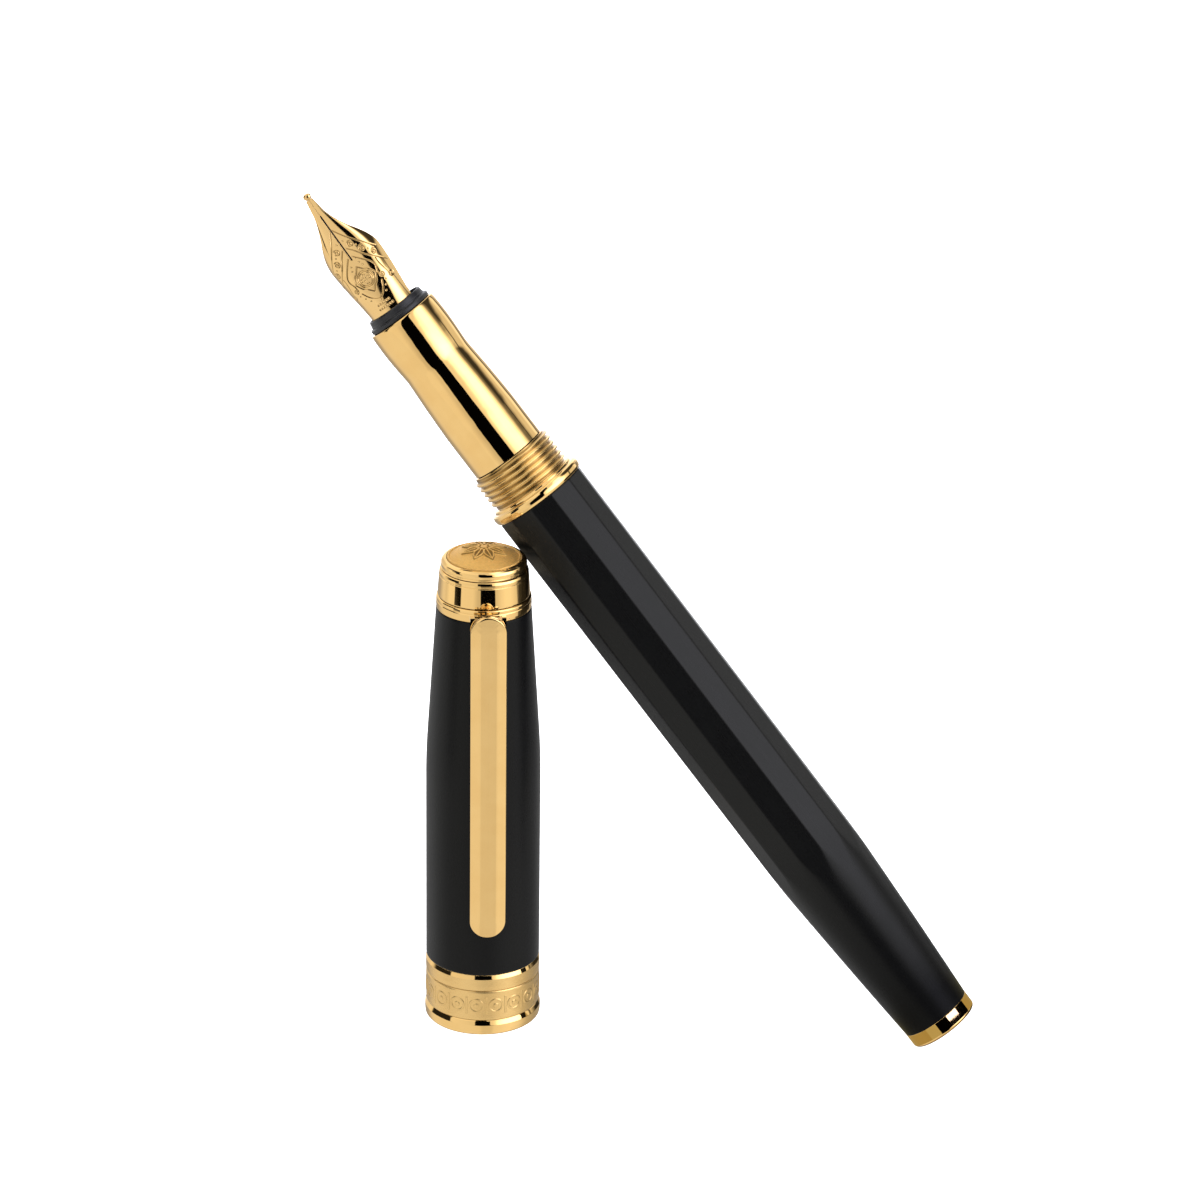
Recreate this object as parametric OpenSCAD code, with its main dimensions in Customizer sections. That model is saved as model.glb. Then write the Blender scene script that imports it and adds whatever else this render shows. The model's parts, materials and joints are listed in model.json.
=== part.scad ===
// Fountain pen with its cap beside it: a twelve-sided black barrel with
// gold-coloured fittings leans on the crown of the cap, which stands on
// its open end. Millimetres, +Z up. The origin is the centre of the
// cap's mouth, on the table plane. The pen is drawn along its own axis,
// w, from the tail (w = 0) to the tip of the nib, and then leaned over.

/* [Pen attitude] */
// Lean of the pen's axis from the vertical, in degrees
pen_tilt = 39.42; // [39.3:0.01:39.5]
// Heading of the lean, in degrees from +X
pen_heading = 164.3; // [164:0.1:164.6]
// Where the tail rests, along X
foot_x = 53.84; // [53.82:0.01:54]
// Where the tail rests, along Y
foot_y = -7.43; // [-7.5:0.01:-7.4]
// Roll of the barrel's flats about its own axis, in degrees
facet_roll = 7.5; // [0:0.5:29.5]
// Roll of the nib about the pen's axis, in degrees
nib_roll = 12.7; // [0:0.1:359]

/* [Barrel] */
// Distance from the axis to each long edge of the barrel, near the tail
barrel_r = 5.6; // [5.5:0.01:5.62]
// The same distance next to the collar
barrel_top_r = 5.66; // [5.6:0.01:5.68]
// Number of flats on the barrel
facets = 12; // [12:12]
// Radius of the tail where it meets its gold end
tail_r = 4.21; // [4.1:0.01:4.3]
// Where the tail's gold end starts
tail_start = 0.35; // [0.3:0.01:0.4]
// Where the tail's gold end meets the black barrel
tail_len = 2.25; // [2.2:0.05:2.3]
// How much the taper to the tail swells
tail_swell = 0.22; // [0:0.01:0.3]
// Distance from the tail to the collar's flange
barrel_end = 78; // [77.9:0.05:78.1]

/* [Collar] */
// Radius of the collar's flange
flange_r = 5.86; // [5.8:0.01:5.9]
// Outside radius of the cap thread on the collar
thread_r = 5.05; // [4.95:0.01:5.06]
// Root radius of the cap thread on the collar
thread_root_r = 4.7; // [4.68:0.01:4.75]
// Distance from one thread ridge to the next
thread_pitch = 0.69; // [0.65:0.01:0.7]
// Number of thread ridges that show
thread_ridges = 6; // [4:1:6]

/* [Section] */
// Radius of the grip next to the thread
grip_r = 4.48; // [4.46:0.01:4.5]
// Radius of the grip at its waist
waist_r = 4.1; // [4.05:0.01:4.15]
// Pitch of the thread that holds the section in the collar
section_pitch = 0.75; // [0.7:0.01:0.78]

/* [Nib] */
// Half the width of the nib at its shoulders
nib_half_w = 3.33; // [3.25:0.01:3.35]
// Thickness of the nib's sheet
nib_t = 0.3; // [0.25:0.01:0.32]
// Distance from the tail to the tip of the nib
nib_tip_w = 120.55; // [120.4:0.05:120.7]
// Width of the slit between the tines
slit_w = 0.08; // [0.06:0.01:0.12]

/* [Converter] */
// Outside radius of the converter's ink tube
tube_r = 3.35; // [3.3:0.01:3.37]
// Bore radius of the converter's ink tube
tube_bore_r = 2.75; // [2.7:0.01:2.78]

/* [Cap] */
// Largest radius of the cap, at its mouth ring
cap_r = 6.72; // [6.65:0.01:6.75]
// Radius of the black cap above the band
shell_r = 6.57; // [6.5:0.01:6.58]
// Radius of the cap's top, under the crown
shell_top_r = 5.43; // [5.41:0.01:5.44]
// Height of the black cap's top edge
shell_top = 51.42; // [51.4:0.01:51.45]
// Radius of the dome on the crown
dome_r = 4.22; // [4.1:0.01:4.25]
// Rise of the dome above its edge
dome_h = 1.2; // [1.0:0.05:1.4]

/* [Clip] */
// Width of the clip's bar
clip_w = 4.1; // [4.0:0.05:4.2]
// Turn of the clip about the cap's axis, in degrees
clip_turn = 5.5; // [0:0.5:10]
// Height of the clip's lower end
clip_low = 13.2; // [13:0.1:13.6]
// Height of the clip's upper end
clip_high = 53.05; // [53:0.01:53.1]

/* [Hidden] */
$fn = 96;
tail_edge = 0.45;              // radius of the tail's rounded edge
tail_in = tail_r - 0.02 - tail_edge;  // circle its centre runs on
foot_z = tail_in*sin(pen_tilt) - (tail_start + tail_edge)*cos(pen_tilt) + tail_edge + 0.01;
pin_y = -4.2;      // the clip's pin, behind the face of the crown
pin_z = 52.25;
gap = 0.02;        // clearance between fixed pieces
crown_dz = -0.35;  // drop of the crown's parts as drawn

black = "#1b1b1d";
gold = "#d9b26a";
gold_satin = "#cfa75f";
plastic = "#232326";
rubber = "#121212";
brass = "#b8924a";
steel = "#b9bcc0";
clear = "#cfd8df";

// ---- helpers ----

// Puts pen parts, drawn with w along +Z, where the pen leans.
module pen_pose() {
  translate([foot_x, foot_y, foot_z]) rotate([0, pen_tilt, pen_heading]) children();
}
// Puts a nib part, drawn with its ridge towards +Y, on the pen.
module nib_pose() { pen_pose() rotate([0, 0, nib_roll]) children(); }
// Turns clip parts, drawn on the -Y side, about the cap.
module clip_pose() { rotate([0, 0, clip_turn]) children(); }
// A ring or tube between two heights.
module tube(r1, r2, z0, z1) {
  rotate_extrude() translate([r1, z0]) square([r2 - r1, z1 - z0]);
}
// A cylinder between two heights.
module rod(r, z0, z1) { translate([0, 0, z0]) cylinder(r = r, h = z1 - z0); }
// Points of an arc from angle a0 to a1.
function arc(cx, cy, r, a0, a1, n) =
  [for (i = [0:n]) [cx + r*cos(a0 + (a1 - a0)*i/n), cy + r*sin(a0 + (a1 - a0)*i/n)]];
function smooth(t) = let (u = min(1, max(0, t))) u*u*(3 - 2*u);
// Points of a row of rounded ridges standing outwards (s = 1) or inwards (s = -1).
function ridge_points(root, crest, pitch, n, z0) =
  [for (i = [0:n - 1]) for (k = [[root, 0], [crest, 0.36], [crest, 0.5], [root, 0.86]])
    [k[0], z0 + pitch*(i + k[1])]];

// ---- barrel ----

// Gold end of the tail with the stud that screws into the barrel.
module tail_finial() {
  color(gold) pen_pose() rotate_extrude() polygon(concat(
    [[0, tail_start]], arc(tail_in, tail_start + tail_edge, tail_edge, -90, 0, 5),
    [[tail_r, tail_len], [1.6, tail_len], [1.6, 5.9], [0, 5.9]]));
}
// Outline of the barrel without its flats: a long taper to the tail.
function barrel_taper() = [for (i = [0:10]) let (t = i/10)
  [tail_r + (barrel_r - tail_r - 0.005)*(t + tail_swell*t*(1 - t)), tail_len + gap + 25.25*t]];
module barrel_shell() {
  color(black) pen_pose() difference() {
    intersection() {
      rotate_extrude() polygon(concat([[0, tail_len + gap]], barrel_taper(),
        [[barrel_r + 0.2, 30], [barrel_r + 0.2, barrel_end], [0, barrel_end]]));
      rotate([0, 0, facet_roll])
        cylinder(r1 = barrel_r - 0.56*(barrel_top_r - barrel_r), r2 = barrel_top_r, h = barrel_end, $fn = facets);
    }
    rod(1.64, 1, 6.2);
    rod(3.6, 8, 24.01);
    rod(4.25, 24, 70);
    rod(4.9, 69.9, barrel_end + 1);
  }
}
// Brass tube that stiffens the barrel and holds the weight near the hand.
module barrel_liner() { color(brass) pen_pose() tube(3.9, 4.23, 24.1, 69.8); }
// Metal collar: flange, thread for the cap outside, thread for the section inside.
module thread_collar() {
  color(gold) pen_pose() rotate_extrude() polygon(concat(
    [[4.87, 70.1], [4.87, barrel_end + gap]],
    [[5.6, barrel_end + gap], [5.75, barrel_end + 0.3]],
    arc(flange_r - 0.3, barrel_end + 0.72, 0.3, -40, 60, 4),
    [[5.35, barrel_end + 1.22], [5.0, barrel_end + 1.35], [4.85, barrel_end + 1.5], [thread_root_r, barrel_end + 1.6]],
    ridge_points(thread_root_r, thread_r, thread_pitch, thread_ridges, barrel_end + 1.65),
    [[thread_root_r, 83.9], [4.33, 83.9], [4.33, 82.95], [4.15, 82.9]],
    [for (i = [12:-1:0]) for (k = [[4.15, 0.7], [3.98, 0.45], [3.98, 0.25], [4.15, 0]])
      [k[0], 72.4 + section_pitch*(i + k[1])]],
    [[4.15, 70.1]]));
}

// ---- section ----

// Rubber ring that seals the section against the collar.
module section_o_ring() {
  color(rubber) pen_pose() translate([0, 0, 83.45]) rotate_extrude()
    translate([3.99, 0]) circle(r = 0.29, $fn = 32);
}
// Outline of the metal grip, from the collar to the nib.
grip_line = [[grip_r, 83.97], [grip_r, 89.0], [4.44, 90.4], [4.37, 92.2], [4.29, 93.9],
  [4.2, 95.4], [waist_r + 0.02, 96.7], [waist_r, 97.4], [waist_r + 0.05, 98.4],
  [4.24, 99.8], [4.285, 101.1], [4.27, 102.1], [4.22, 103.0], [4.14, 103.6], [4.02, 103.88]];
module grip_shell() {
  color(gold) pen_pose() rotate_extrude() polygon(concat([[3.76, 83.97]], grip_line, [[3.76, 103.88]]));
}
// Black core: holds the nib unit in front, the ink way and the nipple behind.
module section_core() {
  color(plastic) pen_pose() rotate_extrude() polygon([[1.45, 73], [3.3, 73], [3.3, 83.97 + gap],
    [3.73, 83.97 + gap], [3.73, 103.88], [3.22, 103.88], [3.22, 86], [2, 86], [2, 76], [1.45, 76]]);
}
// Threaded bush behind the grip, with the groove for the seal.
module section_thread_bush() {
  color(brass) pen_pose() rotate_extrude() polygon(concat(
    [[3.33, 73.1], [3.72, 73.1]],
    ridge_points(3.72, 3.93, section_pitch, 12, 73.3),
    [[3.66, 82.6], [3.66, 83.94], [3.33, 83.94]]));
}
// Black ring between the grip and the nib.
module front_ring() {
  color(black) pen_pose() rotate_extrude() polygon([[3.17, 103.92], [3.8, 103.92], [3.88, 104.0], [3.88, 104.32],
    [3.6, 104.45], [3.55, 104.7], [3.46, 105.2], [3.36, 105.32], [3.17, 105.32]]);
}
// Spigot the converter pushes on to.
module ink_nipple() {
  color(plastic) pen_pose() rotate_extrude() polygon([[0.6, 67.5], [1.2, 67.5], [1.42, 68],
    [1.42, 76.02], [1.95, 76.02], [1.95, 77], [0.6, 77]]);
}

// ---- nib unit ----

// Half width of the nib at distance w along the pen.
function nib_hw(w) =
  w < 105 ? 2.7 :
  w < 112.3 ? 2.7 + (nib_half_w - 2.7)*smooth((w - 103.6)/8.7) :
  w < 115.6 ? nib_half_w - (nib_half_w - 2.05)*pow((w - 112.3)/3.3, 1.65) :
  w < 119 ? 2.05 - 1.37*(1 - pow(1 - (w - 115.6)/3.4, 1.4)) :
  0.68 - 0.26*(w - 119)/(nib_tip_w - 119);
// Height of the nib's ridge above the pen's axis.
function nib_y(w) = w < 109 ? 3.05 : 3.05 - 1.15*pow((w - 109)/(nib_tip_w - 109), 1.7);
// Radius of the nib's arch.
function nib_rad(w) = w < 105 ? 3.05 : 3.05 + 0.85*smooth((w - 105)/9);
nib_rows = concat([92, 98, 104], [for (i = [0:25]) 105 + (nib_tip_w - 105)*i/25]);
nib_cols = 12;
// One row of nib points: the arch's outside, then its inside.
function nib_row(w, d) = let (R = nib_rad(w), am = asin(min(0.985, nib_hw(w)/R)))
  [for (j = [0:nib_cols]) let (a = am*(2*j/nib_cols - 1))
    [(R - d)*sin(a), nib_y(w) - R + (R - d)*cos(a), w]];
module nib_sheet() {
  n = len(nib_rows); m = nib_cols + 1;
  top = [for (w = nib_rows) each nib_row(w, 0)];
  low = [for (w = nib_rows) each nib_row(w, nib_t)];
  o = n*m;
  polyhedron(points = concat(top, low), faces = concat(
    [for (i = [0:n - 2]) for (j = [0:m - 2]) each
      [[i*m + j, i*m + j + 1, (i + 1)*m + j + 1], [i*m + j, (i + 1)*m + j + 1, (i + 1)*m + j]]],
    [for (i = [0:n - 2]) for (j = [0:m - 2]) each
      [[o + i*m + j, o + (i + 1)*m + j + 1, o + i*m + j + 1], [o + i*m + j, o + (i + 1)*m + j, o + (i + 1)*m + j + 1]]],
    [for (i = [0:n - 2]) each
      [[i*m, (i + 1)*m, o + (i + 1)*m], [i*m, o + (i + 1)*m, o + i*m],
       [i*m + m - 1, o + (i + 1)*m + m - 1, (i + 1)*m + m - 1], [i*m + m - 1, o + i*m + m - 1, o + (i + 1)*m + m - 1]]],
    [for (j = [0:m - 2]) each
      [[j, o + j + 1, j + 1], [j, o + j, o + j + 1],
       [(n - 1)*m + j, (n - 1)*m + j + 1, o + (n - 1)*m + j + 1], [(n - 1)*m + j, o + (n - 1)*m + j + 1, o + (n - 1)*m + j]]]));
}
// Arched gold sheet with its slit.
module nib() {
  color(gold) nib_pose() difference() {
    nib_sheet();
    translate([-slit_w/2, 0, 113]) cube([slit_w, 5, 12]);
  }
}
// Hard writing tip under the end of the tines.
module nib_tipping() {
  color(steel) nib_pose() translate([0, nib_y(nib_tip_w) - 0.28, nib_tip_w + 0.38]) sphere(r = 0.36, $fn = 48);
}
// Finned feed that carries the ink under the nib.
module feed() {
  color(plastic) nib_pose() union() {
    intersection() {
      union() {
        rod(2.1, 88, 112.6);
        translate([0, 0, 112.6]) cylinder(r1 = 2.1, r2 = 0.9, h = 4.2);
        for (i = [0:10]) rod(2.45, 105.6 + 0.62*i, 105.6 + 0.62*i + 0.34);
      }
      rotate([0, -90, 0]) translate([0, 0, -4]) linear_extrude(8)
        polygon([[88, -3], [107, -3], [116.8, 0.45], [116.8, 1.45], [111.5, 2.25], [105.4, 2.4], [88, 3]]);
    }
    rod(2.72, 90, 104.2);
  }
}

// ---- converter ----

// Clear ink tube that pushes on to the nipple.
module converter_tube() {
  color(clear, 0.4) pen_pose() rotate_extrude() polygon([[tube_bore_r, 31.3], [tube_r, 31.3],
    [tube_r, 72.2], [tube_r - 0.4, 72.8], [1.46, 72.8], [1.46, 67], [tube_bore_r, 67]]);
}
// Metal sleeve around the back of the ink tube.
module converter_band() { color(gold) pen_pose() tube(tube_r + gap, 3.55, 31.3, 44.5); }
// Nut the piston's rod slides through.
module rod_guide_nut() { color(plastic) pen_pose() tube(1, tube_bore_r - gap, 41, 43.5); }
// Knob that winds the piston.
module converter_knob() {
  color(plastic) pen_pose() difference() {
    union() {
      rotate_extrude() polygon([[0, 17.5], [2.9, 17.5], [3.3, 17.9], [3.3, 30.9], [3.1, 31.2], [2.69, 31.2], [2.69, 38], [0, 38]]);
    }
    rod(1.3, 19, 39);
    for (i = [0:17]) rotate([0, 0, 20*i]) translate([3.45, 0, 18.6]) cylinder(r = 0.3, h = 11.4, $fn = 24);
  }
}
// Rod that pushes the piston, drawn back into the knob as it winds.
module piston_rod() {
  color(steel) pen_pose() rotate_extrude() polygon([[0, 40], [0.95, 40], [0.95, 64.2], [0.6, 64.2], [0.6, 66], [0, 66]]);
}
module piston_head() {
  color(plastic) pen_pose() difference() {
    rotate_extrude() polygon([[0, 64.22], [2.6, 64.22], [2.6, 64.5], [2.3, 64.5], [2.3, 65.1], [2.6, 65.1],
      [2.6, 65.3], [2.3, 65.3], [2.3, 65.9], [2.6, 65.9], [2.4, 66.3], [0, 66.3]]);
    rod(0.62, 64, 66.02);
  }
}
// Two rubber rings around the piston.
module piston_seals() {
  color(rubber) pen_pose() { tube(2.32, 2.7, 64.52, 65.08); tube(2.32, 2.7, 65.32, 65.88); }
}

// ---- cap ----

// Outline radius of the black cap at height z.
bend_low = 30.5;
bend_high = 36;
shell_slope = (shell_r - shell_top_r)/((bend_high - bend_low)/2 + shell_top - bend_high);
function shell_line(z) = z < bend_low ? shell_r :
  z < bend_high ? shell_r - shell_slope*pow(z - bend_low, 2)/(2*(bend_high - bend_low)) :
  shell_r - shell_slope*((bend_high - bend_low)/2 + z - bend_high);
module cap_shell() {
  color(black) rotate_extrude() polygon(concat(
    [[5.78, 7.7]], [[shell_r, 7.7]],
    [for (z = [30.5, 31.6, 32.7, 33.8, 34.9, 36, shell_top]) [shell_line(z), z]],
    [[4.6, shell_top], [4.6, 49.15], [1.22, 49.15], [1.22, 47.65], [5.3, 47.65], [5.3, 9.6], [5.78, 9.6]]));
}
// Inner cap that seals around the nib.
module cap_liner() {
  color(plastic) rotate_extrude() polygon([[4.85, 9.7], [5.27, 9.7], [5.27, 46], [0, 46], [0, 45], [4.85, 45]]);
}
// Threaded bush inside the cap's mouth.
module cap_thread_insert() {
  color(brass) rotate_extrude() polygon(concat([[5.75, 1.9], [5.75, 9.5], [5.1, 9.5]],
    [for (i = [7:-1:0]) for (k = [[5.34, 0.86], [5.34, 0.5], [5.1, 0.36], [5.1, 0.1]]) [k[0], 2.9 + thread_pitch*(i + k[1])]],
    [[5.34, 2.5], [5.34, 1.9]]));
}
// Polished ring around the mouth of the cap; it meets the collar's flange.
module cap_lip_ring() {
  color(gold) rotate_extrude() polygon(concat([[5.55, 0]],
    arc(cap_r - 0.25, 0.25, 0.25, -90, 0, 5), arc(cap_r - 0.35, 1.35, 0.35, 0, 75, 4),
    [[6.4, 1.86], [5.55, 1.86]]));
}
// Satin band between the two polished rings.
module band_middle() {
  color(gold_satin) rotate_extrude() polygon([[5.78, 1.9], [6.5, 1.9], [6.6, 2.05], [6.6, 5.5], [6.5, 5.64], [5.78, 5.64]]);
}
module band_upper_ring() {
  color(gold) rotate_extrude() polygon([[5.78, 5.68], [6.56, 5.68], [6.64, 5.85], [6.64, 6.3], [6.57, 7.66], [5.78, 7.66]]);
}
// Ring under the crown, slotted for the clip's tongue and its pin.
module crown_base_ring() {
  color(gold) translate([0, 0, crown_dz]) difference() {
    rotate_extrude() polygon([[1.2, 51.79], [5.38, 51.79], [5.44, 51.95], [5.4, 53.12], [5.32, 53.3], [1.2, 53.3]]);
    clip_pose() {
      translate([-0.86, -6, 51.7]) cube([1.72, 4.75, 2]);
      translate([-2.4, pin_y, pin_z - crown_dz]) rotate([0, 90, 0]) cylinder(r = 0.42, h = 4.8, $fn = 48);
    }
  }
}
// Tapered polished ring of the crown, notched over the clip's tongue.
module crown_band() {
  color(gold) translate([0, 0, crown_dz]) difference() {
    rotate_extrude() polygon([[1.2, 53.36], [5.24, 53.36], [5.28, 53.5], [5.08, 56.3], [4.98, 56.52],
      [2.1, 56.52], [2.1, 55], [1.2, 55]]);
    clip_pose() translate([0, -4.3, 0]) rotate([90, 0, 0]) linear_extrude(2)
      polygon([[-0.86, 53], [0.86, 53], [0.86, 53.3], [0, 53.97], [-0.86, 53.3]]);
  }
}
// Rounded ring around the dome.
module crown_top_ring() {
  color(gold) translate([0, 0, crown_dz]) rotate_extrude() polygon(concat([[2.2, 56.56], [4.8, 56.56]],
    arc(4.48, 57.3, 0.4, -10, 80, 4), [[4.28, 57.76], [4.28, 56.98], [2.2, 56.98]]));
}
// Shallow dome that closes the crown.
module emblem_dome() {
  R = (dome_r*dome_r + dome_h*dome_h)/(2*dome_h);
  color(gold_satin) translate([0, 0, crown_dz]) union() {
    rod(dome_r, 57.02, 57.8);
    intersection() {
      translate([0, 0, 57.8 + dome_h - R]) sphere(r = R);
      rod(dome_r, 57.7, 60);
    }
  }
}
// Screw that holds the crown to the cap.
module finial_screw() {
  color(steel) translate([0, 0, crown_dz]) difference() {
    union() { rod(2, 55.02, 56.3); rod(1.14, 46.5, 55.1); }
    translate([-2.5, -0.25, 55.9]) cube([5, 0.5, 1]);
  }
}
module finial_nut() {
  color(brass) translate([0, 0, crown_dz]) difference() {
    translate([0, 0, 46.6]) cylinder(r = 2.3, h = 1.35, $fn = 6);
    rod(1.18, 46, 48.5);
  }
}
module clip_pin() {
  color(steel) clip_pose() translate([-2.35, pin_y, pin_z]) rotate([0, 90, 0]) cylinder(r = 0.4, h = 4.7, $fn = 48);
}
// Coil spring that presses the clip's tongue up, and so its end on to the cap.
module clip_spring() {
  turns = 5; seg = 20; sides = 8; n = turns*seg; rw = 0.14; rm = 0.6;
  z0 = 49.2; h = pin_z - 0.46 - z0 - 2*rw;
  pts = [for (i = [0:n]) let (a = 360*i/seg, cz = z0 + rw + h*i/n)
    for (k = [0:sides - 1]) let (b = 360*k/sides)
      [(rm + rw*cos(b))*cos(a), (rm + rw*cos(b))*sin(a), cz + rw*sin(b)]];
  color(steel) clip_pose() translate([0, -2.2, 0]) polyhedron(points = pts, faces = concat(
    [[for (k = [0:sides - 1]) k]], [[for (k = [sides - 1:-1:0]) n*sides + k]],
    [for (i = [0:n - 1]) for (k = [0:sides - 1]) each let (k2 = (k + 1)%sides)
      [[i*sides + k, (i + 1)*sides + k, (i + 1)*sides + k2], [i*sides + k, (i + 1)*sides + k2, i*sides + k2]]]));
}
// Straight sprung clip: a face plate with rounded ends and two side walls
// folded back from it, a pad that touches the cap, and a tongue with an
// eye around the pin.
module clip_outline() {
  r = clip_w/2;
  translate([-r, clip_low + r]) square([clip_w, clip_high - clip_low - 2*r]);
  translate([0, clip_low + r]) circle(r = r);
  translate([0, clip_high - r]) circle(r = r);
}
// A (y, z) outline carried across the clip from x0 to x1.
module clip_side(x0, x1, outline) {
  translate([x0, 0, 0]) rotate([90, 0, 90]) linear_extrude(x1 - x0) polygon(outline);
}
module clip() {
  r = clip_w/2;
  wall = [[-7.5, 15.3], [-7.1, 15.3], [-7.03, 16.2], [-7.03, 46], [-6.75, 48.4], [-6.3, 50.4], [-6.25, 52.85],
    [-6.95, 52.85], [-7.4, 51.3], [-7.7, 48], [-7.75, 20]];
  color(gold) clip_pose() difference() {
    union() {
      intersection() {
        clip_side(-r - 1, r + 1, [[-7.25, 53.1], [-7.75, 51.3], [-8.05, 48], [-8.12, 20], [-7.98, 15.5], [-7.65, 13.1],
          [-7.1, 13.1], [-7.38, 15.5], [-7.52, 20], [-7.45, 48], [-7.15, 51.3], [-6.65, 53.1]]);
        translate([0, -5, 0]) rotate([90, 0, 0]) linear_extrude(5) clip_outline();
      }
      clip_side(-r, -r + 0.45, wall);
      clip_side(r - 0.45, r, wall);
      clip_side(-0.95, 0.95, [[-7.6, 13.9], [-7.0, 13.8], [-6.7, 14.2], [-6.63, 14.7], [-6.63, 15.3], [-6.75, 15.9], [-7.1, 16.6], [-7.6, 16.8]]);
      clip_side(-1.7, 1.7, [[-7.4, 50.6], [-6.3, 50.6], [-6.25, 52.6], [-7.0, 52.6]]);
      translate([-0.75, -6.6, pin_z - 0.4]) cube([1.5, 5.1, 0.8]);
      translate([-0.75, pin_y, pin_z]) rotate([0, 90, 0]) cylinder(r = 0.55, h = 1.5, $fn = 48);
    }
    translate([-2, pin_y, pin_z]) rotate([0, 90, 0]) cylinder(r = 0.45, h = 4, $fn = 48);
  }
}

tail_finial();
barrel_shell();
barrel_liner();
thread_collar();
section_o_ring();
grip_shell();
section_core();
section_thread_bush();
front_ring();
ink_nipple();
nib();
nib_tipping();
feed();
converter_tube();
converter_band();
rod_guide_nut();
converter_knob();
piston_rod();
piston_head();
piston_seals();
cap_shell();
cap_liner();
cap_thread_insert();
cap_lip_ring();
band_middle();
band_upper_ring();
crown_base_ring();
crown_band();
crown_top_ring();
emblem_dome();
finial_screw();
finial_nut();
clip_pin();
clip_spring();
clip();
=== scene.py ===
import bpy
import json
import math
import numpy as np
from mathutils import Matrix, Vector


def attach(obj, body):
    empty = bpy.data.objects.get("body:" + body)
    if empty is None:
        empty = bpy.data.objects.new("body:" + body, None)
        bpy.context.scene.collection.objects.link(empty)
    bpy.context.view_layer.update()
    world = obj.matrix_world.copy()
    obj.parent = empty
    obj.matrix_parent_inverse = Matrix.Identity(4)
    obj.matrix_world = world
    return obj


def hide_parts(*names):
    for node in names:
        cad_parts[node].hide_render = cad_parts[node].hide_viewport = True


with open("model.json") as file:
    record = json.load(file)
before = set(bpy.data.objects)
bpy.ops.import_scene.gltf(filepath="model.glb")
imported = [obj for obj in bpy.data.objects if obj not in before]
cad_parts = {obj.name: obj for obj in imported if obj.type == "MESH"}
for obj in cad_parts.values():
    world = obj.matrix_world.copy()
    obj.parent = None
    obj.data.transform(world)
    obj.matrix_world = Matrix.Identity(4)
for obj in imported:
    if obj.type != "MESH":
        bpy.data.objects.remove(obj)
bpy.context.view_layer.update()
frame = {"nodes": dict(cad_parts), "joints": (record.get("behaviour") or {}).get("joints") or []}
joints = {j["name"]: j for j in frame["joints"]}

# ---------------------------------------------------------------- frames
# The pen's own axis, w, runs from the tail (0) to the nib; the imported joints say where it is.
U = Vector(joints["section_unscrew"]["axis"]).normalized()
AT90 = Vector(joints["section_turn"]["pos_m"])
FOOT = AT90 - U * 0.090
tilt = math.acos(U.z)
heading = math.atan2(U.y, U.x)
PEN = Matrix.Translation(FOOT) @ Matrix.Rotation(heading, 4, "Z") @ Matrix.Rotation(tilt, 4, "Y") @ Matrix.Scale(0.001, 4)
NIB_ROLL = math.radians(12.7)
NIB = PEN @ Matrix.Rotation(NIB_ROLL, 4, "Z")
CAP = Matrix.Scale(0.001, 4)
PIN = Vector(joints["clip_flex"]["pos_m"])
EYE = Vector((0.01314055, -0.56186702, 0.29284304))
CLIP_TURN = math.atan2(PIN.x, -PIN.y)
CLIP = CAP @ Matrix.Rotation(CLIP_TURN, 4, "Z")

# ---------------------------------------------------------------- mesh tools


def make(name, verts, faces, M, mat, body, stands_for, angle=40.0, extra=None):
    """A mesh piece from points in its own millimetre frame, placed by M, riding on a body."""
    v = np.asarray(verts, float)
    m = np.array(M)
    w = v @ m[:3, :3].T + m[:3, 3]
    me = bpy.data.meshes.new(name)
    me.from_pydata(w.tolist(), [], [list(map(int, f)) for f in faces])
    me.validate()
    a = me.attributes.new("loc", "FLOAT_VECTOR", "POINT")
    if len(me.vertices) == len(v):
        a.data.foreach_set("vector", v.astype(np.float32).ravel())
        for key, values in (extra or {}).items():
            e = me.attributes.new(key, "FLOAT", "POINT")
            e.data.foreach_set("value", np.asarray(values, np.float32))
    me.polygons.foreach_set("use_smooth", [True] * len(me.polygons))
    if angle is not None:
        me.set_sharp_from_angle(angle=math.radians(angle))
    ob = bpy.data.objects.new(name, me)
    bpy.context.scene.collection.objects.link(ob)
    me.materials.append(mat)
    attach(ob, body)
    if stands_for:
        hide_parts(*stands_for)
    return ob


def loft(rings, start=None, end=None, torus=False):
    """Quads between rings of equal length. start and end close it with a point."""
    rings = np.asarray(rings, float)
    nr, nc, _ = rings.shape
    verts = rings.reshape(-1, 3).tolist()
    faces = []
    last = nr if torus else nr - 1
    j = np.arange(nc)
    k = (j + 1) % nc
    for i in range(last):
        a, b = i * nc, ((i + 1) % nr) * nc
        faces.extend(np.stack([a + j, a + k, b + k, b + j], 1).tolist())
    if start is not None:
        verts.append(list(start))
        p = len(verts) - 1
        faces.extend([[p, int(y), int(x)] for x, y in zip(j, k)])
    if end is not None:
        verts.append(list(end))
        p = len(verts) - 1
        b = (nr - 1) * nc
        faces.extend([[p, int(b + x), int(b + y)] for x, y in zip(j, k)])
    return np.array(verts), faces


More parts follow.
